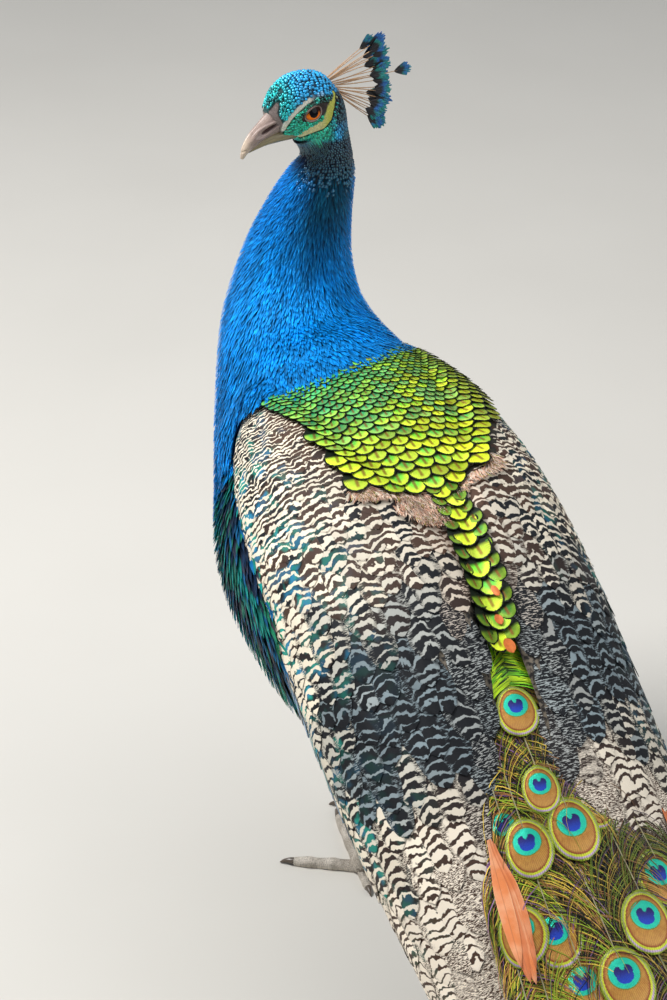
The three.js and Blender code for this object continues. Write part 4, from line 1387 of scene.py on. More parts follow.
# The eyes of the train that lie nearest its root: place along the train, angle in degrees, width.
FIRST_EYES = [
    (82, 82.5, 33), (141, 79, 30), (174, 87, 40), (177, 59.5, 37), (159, 105.5, 36), (159, 48.5, 30),
    (241, 58, 38), (252, 105.5, 40), (280, 64, 38), (285, 82, 42), (225, 124, 38), (232, 38, 38),
    (300, 128, 40), (318, 42, 40), (335, 101, 42), (345, 66, 42),
]
# Those of the first eyes that lie deeper, under other feathers' barbs.
VEILED = [4, 5, 6, 8, 10]
# Pairs of barbs down each shaft, the length of shaft that bears them, and the bright barbs above the
# first eye.
BARB_PAIRS, BARBED_LENGTH, FIRST_BARBS = 112, 200.0, 760
# The forked feathers round the tip: how many, half the angle of their fan, where it starts, how far it
# reaches and the pairs of barbs on each.
FORKED = {"feathers": 26, "fan": 40, "root": -1180.0, "reach": 205, "pairs": 60}


def train_eyes():
    """Every eye-feather: place along the train and angle of its eye, and the eye's width. Beyond the
    first few they lie in staggered rows, wider apart towards the tip."""
    chance = np.random.default_rng(61)
    got = [np.array(FIRST_EYES, float)]
    s, row = 312.0, 0
    while s < 1235:
        a = train.row(s, 12 * RAD, 168 * RAD, np.interp(s, [300, 700, 1200], [54, 62, 60]),
                      0.25 + 0.5 * (row % 2)) / RAD
        n = len(a)
        place = np.stack(
            [s + chance.uniform(-9, 9, n), a + chance.uniform(-2.2, 2.2, n), 40 + chance.uniform(-3, 3, n)],
            -1
        )
        if s < 375:
            place = place[np.abs(place[:, 1] - 85) > 48]
        got.append(place)
        s += 53
        row += 1
    return np.concatenate(got)


def eye_finish():
    """The eye of a train feather, in rings out from a notched blue-black heart: turquoise, bronze,
    gold-green, lilac towards the tip and a fringe of yellow-green barbs. Lengths are those of an eye 38
    mm wide."""
    f = Finish("train_eye", Roughness=0.34, Metallic=0.45, Coat_Weight=0.1, Coat_Roughness=0.3)
    vx, vy = f.uv("vane")
    jitter = f.sway(1100, 1) * 1.2
    x = (vx - 0.5) * 36.0 + jitter
    y = vy * 45.0 - 20.5 + jitter

    def ring(cx, cy, rx, ry):
        dx, dy = (x - cx) * (1 / rx), (y - cy) * (1 / ry)
        return f.maths("SQRT", dx * dx + dy * dy)

    fan = f.maths("ARCTAN2", x, y + 22.0)
    lines = f.lines(fan * 170.0)
    tipward = f.rise(y, 6.0, 16.0)
    outer = ring(0, 2, 18, 22.5)
    colour = f.mix(f.noise(500, 1), 0x5E7A1A, 0xB4C428)
    colour = f.mix(f.fall(ring(0, 2, 16.9, 21.1), 0.97, 1.02) * (0.25 + tipward * 0.75), colour, 0xBFA2C4)
    colour = f.mix(f.fall(ring(0, 1.8, 16.0, 19.9), 0.98, 1.01), colour, 0xC8D034)
    bronze = f.mix(f.noise(300, 3) * 0.9, f.mix(tipward, 0x9A5A1C, 0xAE7642), 0xD0A048)
    bronze = f.mix(f.rise(ring(0, 1.4, 14.6, 18.3), 0.86, 1.0), bronze, 0x8A3E1E)
    colour = f.mix(f.fall(ring(0, 1.4, 14.8, 18.5), 0.97, 1.02), colour, bronze)
    colour = f.mix(f.fall(ring(0, -3, 11.2, 10.6), 0.97, 1.01), colour, 0x6E7A1E)
    colour = f.mix(f.fall(ring(0, -3, 10.5, 9.9), 0.96, 1.02), colour,
                   f.mix(f.noise(240, 2), 0x0FB496, 0x1FD6B4))
    notch = f.rise(ring(0, -9.0, 2.0, 4.0), 0.85, 1.1)
    heart = f.maths("MAXIMUM", f.fall(ring(-2.9, -4.2, 3.7, 3.9), 0.92, 1.04),
                    f.fall(ring(2.9, -4.2, 3.7, 3.9), 0.92, 1.04))
    heart = f.maths("MAXIMUM", heart, f.fall(ring(0, -1.0, 6.0, 4.9), 0.93, 1.02)) * notch
    colour = f.mix(heart, colour, f.mix(f.rise(y, -7.0, 3.0), 0x1A1060, 0x1440B8))
    colour = f.mix(f.fall(lines, 0.0, 0.8) * (0.2 + f.rise(outer, 0.85, 1.0) * 0.3), colour, 0x0E1408)
    f.colour(f.mix(f.value("shade"), colour, 0x101408))
    f.bump(lines, 0.12, 0.6)
    return f.material


def barb_finish():
    """Loose barbs: gold-green, bronze and violet, glossy, paler along the middle of each."""
    f = Finish("train_barb", Roughness=0.38, Metallic=0.5, Sheen_Weight=0.2)
    x, y = f.uv("vane")
    shade = 0.55 + f.noise(120, 2) * 0.8
    f.colour(
        f.mix(f.rise(y, 0.0, 0.2), f.mix(0.5, f.tint("tint"), 0x0C1006),
              f.mix(shade, 0x080C04, f.tint("tint")))
    )
    return f.material


def ribbons(line, out, half, root_u, root_v):
    """Thin ribbons along lines of points, lying square to the way `out` of the form below. Each has a
    patch of the OFBake map 0.003 across at its root's place. Returns points, faces, uvs and the ribbon
    that each point is of."""
    count, length, _ = line.shape
    way = unit(np.gradient(line, axis=1))
    across = unit(np.cross(out, way))
    points = np.stack([line - across * half, line + across * half], 2)
    flip = (
        np.cross(points[:, 0, 1] - points[:, 0, 0], points[:, 1, 0] - points[:, 0, 0]) * out[:, 0]
    ).sum() < 0
    faces = sheet_faces(count, length, 2, flip)
    root_u, root_v = root_u[:, None, None], root_v[:, None, None]
    v = np.array([0.0, 1.0])[None, None, :]
    u = np.linspace(0, 1, length)[None, :, None]
    vane = np.stack(np.broadcast_arrays(v, u + 0 * root_u), -1)
    bake = np.stack(np.broadcast_arrays(root_u + 0.003 * (v - 0.5), root_v + 0.003 * (u - 0.5)), -1)
    uvs = {"vane": vane, "OFBake": np.clip(bake, 0.001, 0.999)}
    return points.reshape(-1, 3), faces, uvs, np.repeat(np.arange(count), length * 2)


def hairs(form, s, a, side, long, spread, lift, wide, chance, span):
    """Loose barbs as ribbons on a form. Each leaves its root at (s, a) to one side; its distance aside
    rises fast and then levels off as 1 - (1 - w) squared, and its distance along rises slowly and then
    faster, so that it bends round to lie along the feather. It arches a little off the form between root
    and tip."""
    n = len(s)
    w = np.linspace(0, 1, 6)[None, :]
    aside = side[:, None] * long[:, None] * spread[:, None] * (1 - (1 - w) ** 2)
    along = long[:, None] * np.sqrt(np.maximum(1 - spread[:, None] ** 2, 0.1)) * (0.5 * w + 0.5 * w * w)
    wave = chance.uniform(-1, 1, n)[:, None] * long[:, None] * 0.02
    aside = aside + wave * np.sin(w * 4 + chance.uniform(0, 6, n)[:, None])
    per_s, per_a = form.slopes(np.clip(s + long * 0.4, 0, form.length), a)
    per_s, per_a = (np.linalg.norm(p, axis=-1)[:, None] for p in (per_s, per_a))
    S, A = s[:, None] + along / per_s, a[:, None] + aside / np.maximum(per_a, 8)
    inside = np.clip(S, 0, form.length)
    out = form.normal(inside, A)
    per, _ = form.slopes(inside, A)
    arch = chance.uniform(0.2, 1.6, n)[:, None] * np.sin(np.pi * w)
    line = form.point(inside, A) + per * (S - inside)[..., None] + out * (lift[:, None] + arch)[..., None]
    line[..., 2] = np.maximum(line[..., 2], 0.8)
    s_low, s_high, a_low, a_high = span
    root_u = 0.02 + 0.96 * (a - a_low) / (a_high - a_low)
    root_v = 0.02 + 0.96 * (s - s_low) / (s_high - s_low)
    return ribbons(line, out, (wide * (1 - 0.65 * w**1.5) / 2)[..., None], root_u, root_v)


def make_train():
    """The train: a dark bed, a loose herringbone of barbs from every eye-feather's shaft, the pale
    shafts, the eyes, and forked feathers round the tip."""
    rings_s = np.linspace(2, train.length - 2, 150)
    angle = turns(56)
    S, A = grid(rings_s, angle)
    rings = (train.point(S, A)
             - train.normal(S, A) * np.interp(S, [0, 60, 1200, 1279], [4, 7, 6, 3])[..., None])
    rings[..., 2] = np.maximum(rings[..., 2], 0.0)
    points, quads, tris = shell(rings)
    bed = Finish("train_bed", Roughness=0.65)
    streak = bed.noise(140, 4)
    bed.colour(bed.mix(bed.rise(streak, 0.35, 0.7), 0x0B0D06, 0x2A2A12))
    put("train_bed", points, quads, bed.material, tris,
        replaces=["train_" + part for part in ("root", "upper", "middle", "lower", "tip")])

    eyes = train_eyes()
    s_eye, a_eye, wide = eyes[:, 0], eyes[:, 1] * RAD, eyes[:, 2]
    n = len(eyes)
    chance = np.random.default_rng(62)
    scale = wide / 38
    turn = chance.normal(0, 0.1, n)
    lift = 1.8 + chance.uniform(-0.5, 0.7, n) - 2.4 * np.isin(np.arange(n), VEILED)
    first = np.arange(n) < len(FIRST_EYES)
    step_s, step_a = 0.94 / (s_eye.max() - s_eye.min()), 0.94 / (a_eye.max() - a_eye.min())
    points, faces, uvs, owner = feathers(
        train, s_eye - 20 * scale, a_eye, 45 * scale, 18 * scale, (lift - 1.4, lift), 1, turn, 1.4, 0, 11,
        9, oval, None, (38 * step_a / 165, 40 * step_s), floor=2.0
    )
    put("train_eyes", points, faces, eye_finish(), None, uvs,
        {"shade": (0.12 * chance.random(n) * ~first)[owner]}, None)

    # Barbs: pairs down each shaft, from beside the eye back up the train.
    feather = np.repeat(np.arange(n), BARB_PAIRS * 2)
    step = np.tile(np.repeat(np.arange(BARB_PAIRS), 2), n)
    side = np.tile(np.array([1.0, -1.0]), n * BARB_PAIRS)
    m = len(feather)
    back = 14 + (step + chance.uniform(-0.4, 0.4, m)) / BARB_PAIRS * BARBED_LENGTH
    s = s_eye[feather] - back
    a = a_eye[feather] + chance.normal(0, 0.012, m)
    spread = np.interp(back, [14, 45, 200], [0.62, 0.5, 0.4]) * chance.uniform(0.95, 1.05, m)
    long = np.interp(back, [14, 60, 200], [44, 58, 74]) * chance.uniform(0.8, 1.15, m)
    height = -0.6 - back * 0.026 + chance.uniform(-0.3, 0.3, m) + 2.4 * (chance.random(m) > 0.975)
    keep = s > 24
    tint = barb_tints(chance, m, feather)
    # Painted light and shade: near the root the barbs on the bird's left are brightened up to 1.7 times and
    # those on its right darkened down to 0.55.
    near = smooth(460 - s, 0, 120)
    bright = np.interp(a / RAD, [40, 68, 84, 100, 130], [1.7, 1.55, 0.95, 0.65, 0.55]) * near + 1 - near
    tint = tint * bright[:, None]
    pieces = np.array_split(np.nonzero(keep)[0], 2)
    span = (24, train.length, 0, np.pi)
    finish = barb_finish()
    for k, pick in enumerate(pieces):
        points, faces, uvs, owner = hairs(
            train, s[pick], a[pick], side[pick], long[pick], spread[pick], height[pick], 0.66, chance, span
        )
        put(f"train_barbs_{k + 1}", points, faces, finish, None, uvs, None, {"tint": tint[pick][owner]})

    # Above the first eye, bright hair-like barbs fan out and hang round it.
    m = FIRST_BARBS
    pick = chance.random(m)
    side = np.where(np.arange(m) % 2 > 0, 1.0, -1.0)
    tint = (drawn(pick, (0.55, 0xC8F01E), (0.78, 0x78D020), (1, 0x1E3A10))
            * chance.uniform(0.7, 1.3, m)[:, None])
    root = 2 + 62 * chance.random(m) ** 1.3
    middle = mantle_middle(330.0)
    angle = middle + (FIRST_EYES[0][1] - middle) * root / 66
    places = angle * RAD + chance.normal(0, 0.02, m)
    long = np.interp(root, [0, 64], [37, 50]) * chance.uniform(0.8, 1.1, m)
    spread = np.interp(root, [0, 25, 64], [0.25, 0.5, 0.74]) + chance.uniform(-0.12, 0.1, m)
    lift = chance.uniform(0.0, 2.0, m) + np.interp(root, [0, 40], [4.5, 0.0])
    whole = (0, train.length, 0, np.pi)
    points, faces, uvs, owner = hairs(train, root, places, side, long, spread, lift, 0.75, chance, whole)
    put("train_first_barbs", points, faces, finish, None, uvs, None, {"tint": tint[owner]})

    # Shafts: slender pale rods that run up the train from each eye.
    ends = s_eye - 12 * scale
    rods = np.minimum(70.0, ends - 30)
    good = rods > 10
    points, faces, uvs, owner = feathers(
        train, ends[good], a_eye[good], rods[good], np.full(good.sum(), 0.45), (0.6, -3.0), -1, 0.0, 0, 0,
        8, 3, strap, None, floor=1.0
    )
    shaft = plain("train_shaft", 0.45, 200, 1, 0x6A6444, 0xA8A07A)
    put("train_shafts", points, faces, shaft, None, uvs, None, None)
    make_fringe(finish)


def barb_tints(chance, m, feather):
    """Colours of barbs: most gold-green, the rest bronze, violet or nearly black, in bunches along a
    feather."""
    pick = chance.random(m) + 0.12 * np.sin(feather * 2.3)
    tint = drawn(pick, (0.22, 0x7E9422), (0.46, 0xB89C3A), (0.62, 0x8A5E34), (0.7, 0x7A567E), (1, 0x12160A))
    return tint * chance.uniform(0.5, 1.4, m)[:, None]


def make_fringe(finish):
    """The longest feathers end in forks, with no eye: two crescents of barbs either side of a notch,
    fanned round the tip of the train and along its sides."""
    chance = np.random.default_rng(63)
    count, per = FORKED["feathers"], FORKED["pairs"]
    turn = np.linspace(-FORKED["fan"], FORKED["fan"], count) * RAD
    reach = FORKED["reach"] - 62 * (1 - np.cos(2 * turn))
    feather = np.repeat(np.arange(count), per * 2)
    step = np.tile(np.repeat(np.arange(per), 2), count) / per
    side = np.tile(np.array([1.0, -1.0]), count * per)
    m = len(feather)
    along = reach[feather] - 60 + 118 * step
    half = 5 + 17 * np.sin(np.pi * np.clip(step * 0.62 + 0.1, 0, 1)) ** 1.5
    lean = 0.75 + 0.5 * step
    w = np.linspace(0, 1, 6)[None, :]
    out = side[:, None] * half[:, None] * (1 - (1 - w) ** 2)
    run = along[:, None] + half[:, None] * lean[:, None] * (0.4 * w + 0.6 * w * w)
    run = np.minimum(run, (reach[feather] + 82)[:, None] - 12 * (1 - np.abs(out) / 22))
    c, s = np.cos(turn[feather])[:, None], np.sin(turn[feather])[:, None]
    x, y = FORKED["root"] - run * c - out * s, -run * s + out * c
    rows = np.array(TRAIN, float)[::-1]
    limit = np.interp(x, [-1450, -1385, -1310, -1190, -1040], [92, 120, 148, 168, 180])
    y = y / (1 + np.abs(y / limit) ** 6) ** (1 / 6)
    middle, top, wide = (np.interp(x, rows[:, 0], rows[:, c]) for c in (2, 5, 4))
    z = (middle + (top - 2.5) * np.sqrt(np.clip(1 - (y / wide) ** 2, 0, 1))
         - 3 * smooth(np.abs(y) / wide, 0.9, 1.2))
    z = (np.maximum(z, 2.2) + chance.uniform(0, 3.0, m)[:, None] + 1.2 * np.sin(np.pi * w)
         + 1.5 * (1 - step)[:, None])
    line = np.stack(np.broadcast_arrays(x, y, z), -1)
    up = np.broadcast_to(np.array([0, 0, 1.0]), line.shape)
    half = (1.5 * (1 - 0.6 * w) / 2)[..., None]
    points, faces, uvs, owner = ribbons(line, up, half, 0.5 + turn[feather] / 1.5, 0.03 + 0.94 * step)
    tint = barb_tints(chance, m, feather) * 1.1
    tint = tint * 0.7 + linear(0x8A9A2A) * 0.3
    put("train_fringe", points, faces, finish, None, uvs, None, {"tint": tint[owner]})


def make_primaries():
    """Folded flight feathers, smooth and orange-buff, that show between each wing and the train."""
    f = Finish("primary", Roughness=0.5, Sheen_Weight=0.15)
    x, y = f.uv("vane")
    side = abs(x - 0.5)
    lines = barb_lines(f, 0.7, 2.2)
    colour = f.mix(f.rise(f.noise(60, 3), 0.35, 0.7), 0xEA8646, 0xF8B082)
    colour = f.mix(f.value("deep"), colour, 0xC8602C)
    colour = f.mix(lines * (0.1 + f.noise(90, 3) * 0.5), colour, 0xA85A28)
    colour = f.mix(f.fall(side, 0.01, 0.035) * 0.45, colour, 0x9F5A2E)
    colour = f.mix(f.rise(side, 0.4, 0.5) * 0.45, colour, 0xF0BC90)
    f.colour(colour)
    f.bump(lines + f.fall(side, 0.01, 0.06) * 3, 0.12, 0.6)
    for name, side_of in (("left", 1), ("right", -1)):
        k = np.arange(5)
        s = np.array([164.0, 164, 164, 166, 168])
        a = np.array([34.6, 35.5, 36.4, 37.4, 38.4]) * RAD
        long = np.array([92, 104, 106, 94, 76.0])
        lift = np.array([7.5, 6.5, 5.6, 4.6, 3.6])
        a = a if side_of > 0 else np.pi - a + 17 * RAD
        points, faces, uvs, owner = feathers(
            train, s, a, long, np.full(5, 5.4), (lift * 0.2, lift), 1, side_of * (0.02 * k - 0.025), 1.2, 0,
            24, 7, lance, None, (0.16, 0.5)
        )
        across, along = uvs["vane"].reshape(-1, 2).T
        bake = np.stack([0.1 + 0.2 * owner + 0.17 * (across - 0.5), 0.03 + 0.94 * along], -1)
        uvs["OFBake"] = np.clip(bake, 0, 1)
        put("primaries_vanes_" + name, points, faces, f.material, None, uvs,
            {"deep": np.array([0.0, 0.55, 0.15, 0.6, 0.3])[owner]}, None, replaces=("primaries_" + name,))


def make_tail():
    """The tail proper under the train: stiff brown feathers on a thin bed."""
    rings_s = np.linspace(1, tail.length - 1, 40)
    S, A = grid(rings_s, turns(40))
    rings = tail.point(S, A) - tail.normal(S, A) * 1.2
    points, quads, tris = shell(rings)
    f = Finish("tail_plume", Roughness=0.55)
    lines = barb_lines(f, 1.0, 1.8)
    colour = f.mix(f.rise(f.noise(80, 3), 0.35, 0.65), 0x3C2F24, 0x6B5642)
    f.colour(f.mix(lines * 0.3, colour, 0x1E1711))
    f.bump(lines, 0.15, 0.5)
    bed = plain("tail_bed", 0.6, 90, 3, 0x2A2019, 0x594636)
    put("tail_bed", points, quads, bed, tris, replaces=("tail",))
    chance = np.random.default_rng(71)
    a = np.concatenate([np.linspace(10, 170, 10), np.linspace(190, 350, 10)]) * RAD
    n = len(a)
    points, faces, uvs, owner = feathers(
        tail, np.full(n, 20.0) + chance.uniform(0, 10, n), a, 345 - 60 * np.abs(np.cos(a)) ** 2,
        np.full(n, 15.0), (0.2, 1.6), 1, 0.0, 1.2, 0, 20, 5, strap, None, (0.04, 0.4)
    )
    put("tail_feathers", points, faces, f.material, None, uvs)


# -------------------- legs


def leg_finish():
    """Grey-brown scaly skin: broad plates across the front of shank and toes, small round scales
    elsewhere."""
    f = Finish("leg_scales", Roughness=0.5, Specular_IOR_Level=0.4)
    x, y = f.uv("scale")
    bands = f.maths("FRACT", y * 22.0)
    gap = f.fall(bands, 0.0, 0.12) + f.rise(bands, 0.9, 1.0)
    front = f.value("front")
    cells = f.node("TexVoronoi", feature="DISTANCE_TO_EDGE")
    f.join(f.vector(x * 9.0, y * 40.0), cells.inputs["Vector"])
    cells.inputs["Scale"].default_value = 1.6
    small = f.fall(Amount(f, cells.outputs[0]), 0.02, 0.12)
    crease = f.mix(front, small, gap)
    colour = f.mix(f.rise(f.noise(70, 3), 0.35, 0.7), 0xB0A698, 0xDCD2C4)
    f.colour(f.mix(crease * 0.6, colour, 0x564C42))
    f.bump(1.0 - crease, 0.5, 0.8)
    return f.material


def horn_finish(name, dark, pale):
    """Smooth horn with faint streaks along it."""
    f = Finish(name, Roughness=0.32, Coat_Weight=0.2, Coat_Roughness=0.25)
    x, y = f.uv("scale")
    streak = f.noise(14, 3, f.vector(x * 6, y))
    f.colour(f.mix(f.rise(streak + f.noise(500, 2) * 0.2, 0.4, 0.8), dark, pale))
    f.bump(streak, 0.1, 0.4)
    return f.material


def tube(form, count, around, s_from=0.0, s_to=None, swell=None, floor=None):
    """A closed shell along a form, with the uv of a scaly limb (turns round it, decimetres along it)."""
    s_to = form.length if s_to is None else s_to
    S, A = grid(np.linspace(s_from, s_to, count), turns(around))
    rings = form.point(S, A)
    if swell is not None:
        rings = rings + form.normal(S, A) * swell(S, A)[..., None]
    if floor is not None:
        rings[..., 2] = np.maximum(rings[..., 2], floor)
    points, quads, tris = shell(rings)
    step = (A / (2 * np.pi)).ravel()
    step = np.abs(step * 2 - 1)
    uv = np.concatenate([np.stack([step, S.ravel() / 100], -1), [[0.5, s_from / 100], [0.5, s_to / 100]]])
    return points, quads, tris, uv, S, A


def joined(parts):
    """Several shells (points, quads, tris, uv, value) as one."""
    total, points, quads, tris, uvs, values = 0, [], [], [], [], []
    for p, q, t, uv, value in parts:
        points.append(p)
        quads.append(q + total)
        tris.append(t + total)
        uvs.append(uv)
        values.append(np.broadcast_to(value, (len(p),)))
        total += len(p)
    return (np.concatenate(x) for x in (points, quads, tris, uvs, values))


# How far a foot's pad and toes are let into the floor before they are cut flat.
SUNK = 1.0


def make_leg(name, side, scales, claw_finish, thigh_material):
    """A leg: feathered thigh, scaly shank with its spur, and a foot of four jointed toes with curved
    claws."""
    ahead, outward = STANCE[name]

    def placed(rows):
        return [(x + ahead * (HIP - z) / HIP, side * (y + outward * (HIP - z) / HIP), z, *size)
                for x, y, z, *size in rows]

    thigh = limb_form(placed(THIGH))
    depth = lambda S, A: -np.interp(S, [0, 40, 110, thigh.length - 10, thigh.length], [6, 6, 4, 1.6, 0.8])
    points, quads, tris, uv, S, A = tube(thigh, 36, 40, 0, thigh.length, depth)
    bed = plain("thigh_skin_" + name, 0.65, 220, 3, 0x3A2E22, 0x7B6850)
    put("thigh_skin_" + name, points, quads, bed, tris, {"scale": uv}, replaces=("thigh_" + name,))
    s, a, w = scattered(thigh, 2, thigh.length - 4, lambda s: 4.6 - 2.4 * s / thigh.length,
                        lambda s: 7.0 - 4.2 * s / thigh.length, 0, 2 * np.pi, 81, 0.3)
    tint = layered(s.shape, 0x8D7A5C, (smooth(70 - s, 0, 60) * 0.7, 0x2A2A22),
                   (0.3 * (np.sin(a * 7 + s / 5) > 0.4), 0x6A583F))
    small_coat("thigh_coat_" + name, s, a, w * 1.3, w * 2.4, thigh_material, 82, (-2.0, 0.4, 1.4), tint,
               form=thigh, way=1, camber=0.5)

    shank = limb_form(placed(SHANK))
    ridge = lambda S, A: 0.32 * (1 - np.mod(S / 4.55, 1.0)) * smooth(np.cos(A - 1.5 * np.pi), -0.1, 0.5)
    points, quads, tris, uv, S, A = tube(shank, 190, 32, 0, shank.length, ridge)
    front = np.concatenate([smooth(np.cos(A - 1.5 * np.pi), -0.2, 0.3).ravel(), [0, 0]])
    put("shank_scales_" + name, points, quads, scales, tris, {"scale": uv}, {"front": front},
        replaces=("shank_" + name,))
    spur = limb_form(placed(SPUR))
    points, quads, tris, uv, _, _ = tube(spur, 24, 16)
    put("spur_horn_" + name, points, quads, claw_finish, tris, {"scale": uv}, replaces=("spur_" + name,))

    ball = np.array([FOOT[0] + ahead, side * (FOOT[1] + outward), 0.0])
    toes, claws = [], []
    pad = limb_form(
        [(*(ball + [0, 0, PAD * 2 * t - SUNK]), PAD * w, PAD * w)
         for t, w in ((0.02, 0.3), (0.2, 0.85), (0.5, 1.0), (0.8, 0.85), (0.98, 0.3))]
    )
    points, quads, tris, uv, _, _ = tube(pad, 24, 24, floor=0.0)
    toes.append((points, quads, tris, uv, 0.0))
    for turn, length, wide, claw in TOES.values():
        way = np.array([np.cos(turn * RAD), side * np.sin(turn * RAD), 0.0])
        rows = [(*(ball + way * t * length)[:2], wide * k - SUNK, wide * k, wide * k) for t, k in TOE_SHAPE]
        form = limb_form(rows)

        def crown(S, A):
            plates = 0.3 * (1 - np.mod(S / 3.6, 1.0)) * smooth(np.sin(A), 0.2, 0.7)
            pads = 0.5 * (0.5 + 0.5 * np.cos(S / length * 2 * np.pi * 3)) * smooth(-np.sin(A), 0.2, 0.8)
            return plates + pads

        points, quads, tris, uv, S, A = tube(form, 90, 24, 0, form.length, crown, 0.0)
        toes.append((points, quads, tris, uv, np.concatenate([smooth(np.sin(A), -0.1, 0.5).ravel(), [0, 0]])))
        nail = [(length - 3, 0.6, 0.72, 0.66), (length + claw * 0.2, 0.68, 0.6, 0.58),
                (length + claw * 0.5, 0.62, 0.42, 0.46), (length + claw * 0.8, 0.38, 0.24, 0.3),
                (length + claw, 0.13, 0.08, 0.1)]
        form = limb_form([(*(ball + way * d)[:2], wide * h, wide * w, wide * t) for d, h, w, t in nail])
        points, quads, tris, uv, _, _ = tube(form, 26, 16, 0, form.length, None, 0.0)
        claws.append((points, quads, tris, uv, 0.0))
    points, quads, tris, uv, front = joined(toes)
    put("foot_scales_" + name, points, quads, scales, tris, {"scale": uv}, {"front": front},
        replaces=("foot_" + name,))
    points, quads, tris, uv, _ = joined(claws)
    put("claws_" + name, points, quads, claw_finish, tris, {"scale": uv},
        replaces=[f"claw_{name}_{toe}" for toe in TOES])


# -------------------- bill, eyes and crest


def nostril_place(ahead, above):
    """A point's place about the nostril: below 1 inside its slit."""
    x, y = tilted(ahead - NOSTRIL["ahead"], above - NOSTRIL["above"], NOSTRIL["tilt"])
    return np.sqrt((x / NOSTRIL["long"]) ** 2 + (y / (NOSTRIL["high"] * (1 + 0.03 * x))) ** 2)


def make_bill():
    """Upper bill with a ridge along its top, a raised horny cover over each slit of a nostril and a
    hooked tip; lower bill set into it."""
    upper = Form(head_sections(BILL_UPPER))

    def shape(S, A):
        p = upper.point(S, A)
        ahead, above, aside = head_place(p)
        rho = nostril_place(ahead, above)
        beside = smooth(np.abs(aside), 2.0, 4.5) * smooth(np.cos(A) ** 2, 0.1, 0.5)
        dent = -2.2 * (1 - smooth(rho, 0.5, 1.0)) + 0.8 * np.exp(-(((rho - 1.7) / 0.45) ** 2))
        keel = 0.5 * np.exp(-(((A - np.pi / 2) / 0.3) ** 2)) * smooth(ahead, 24, 34)
        lip = -0.35 * np.exp(-(((above - (-12.6 - 0.35 * np.maximum(ahead - 42, 0))) / 0.7) ** 2))
        return dent * beside + keel + lip * smooth(ahead, 20, 30)

    points, quads, tris, uv, S, A = tube(upper, 190, 96, 0, upper.length - 0.2, shape)
    ahead, above, aside = head_place(points)
    slit = (1 - smooth(nostril_place(ahead, above), 0.6, 1.0)) * (np.abs(aside) > 2)
    f = Finish("upper_bill", Roughness=0.36, Coat_Weight=0.15, Coat_Roughness=0.3)
    x, y = f.uv("scale")
    streak = f.noise(9, 3, f.vector(x * 7, y * 0.8))
    tint = f.tint("tint")
    colour = f.mix(f.rise(streak, 0.4, 0.75) * 0.45, tint, 0xC9B4A4)
    colour = f.mix(f.rise(f.noise(420, 3), 0.5, 0.7) * 0.35, colour, 0x5A463F)
    # Painted shade: the nostril's slit, only a shallow dent, is coloured near black as if it were a deep dark
    # opening.
    f.colour(f.mix(f.value("slit"), colour, 0x3A1712))
    f.bump(streak + f.noise(700, 2) * 0.3, 0.15, 0.5)
    tip = smooth(ahead, 50, 59)
    base = smooth(33 - ahead, 0, 8)
    ridge = smooth(above + 0.9 * (ahead - 34), 2, 10) * smooth(ahead, 30, 40)
    tint = layered(ahead.shape, 0x8E7A74, (0.6 * base, 0x7A6A68), (0.5 * ridge, 0x9B7F70),
                   (tip * 0.85, 0xD8C4AC))
    put("bill_horn_upper", points, quads, f.material, tris, {"scale": uv}, {"slit": slit}, {"tint": tint},
        ("bill_upper",))

    lower = Form(head_sections(BILL_LOWER))
    points, quads, tris, uv, S, A = tube(lower, 90, 48, 0, lower.length - 0.2)
    f = Finish("lower_bill", Roughness=0.4, Coat_Weight=0.1)
    x, y = f.uv("scale")
    streak = f.noise(10, 3, f.vector(x * 6, y))
    f.colour(f.mix(f.rise(streak, 0.4, 0.75), 0x82765A, 0xB0A27A))
    f.bump(streak, 0.1, 0.4)
    put("bill_horn_lower", points, quads, f.material, tris, {"scale": uv}, replaces=("bill_lower",))


def eye_finish_ball():
    """A dark wet eye: blue-black pupil, orange-brown iris darkened at the top by the painted shadow of the
    upper lid, dark rim, under a clear coat.
    """
    f = Finish("eye_ball", Roughness=0.3, Coat_Weight=0.35, Coat_Roughness=0.01, Specular_IOR_Level=0.0)
    out, low = f.value("out"), f.value("low")
    wobble = f.sway(1400, 3) * 0.5
    # Painted shadow of the upper lid: the iris runs from near black at its top to bright orange below, with
    # bright flecks only below.
    iris = f.mix(low, 0x2A0E06, 0xFF7A10)
    iris = f.mix(f.rise(f.noise(2200, 2), 0.45, 0.7) * low * 0.5, iris, 0xF6B03C)
    colour = f.mix(f.rise(out + wobble, 6.0, 6.8), iris, 0x1A0E0A)
    f.colour(f.mix(f.fall(out + wobble * 0.3, 3.6, 3.9), colour, 0x02030C))
    return f.material


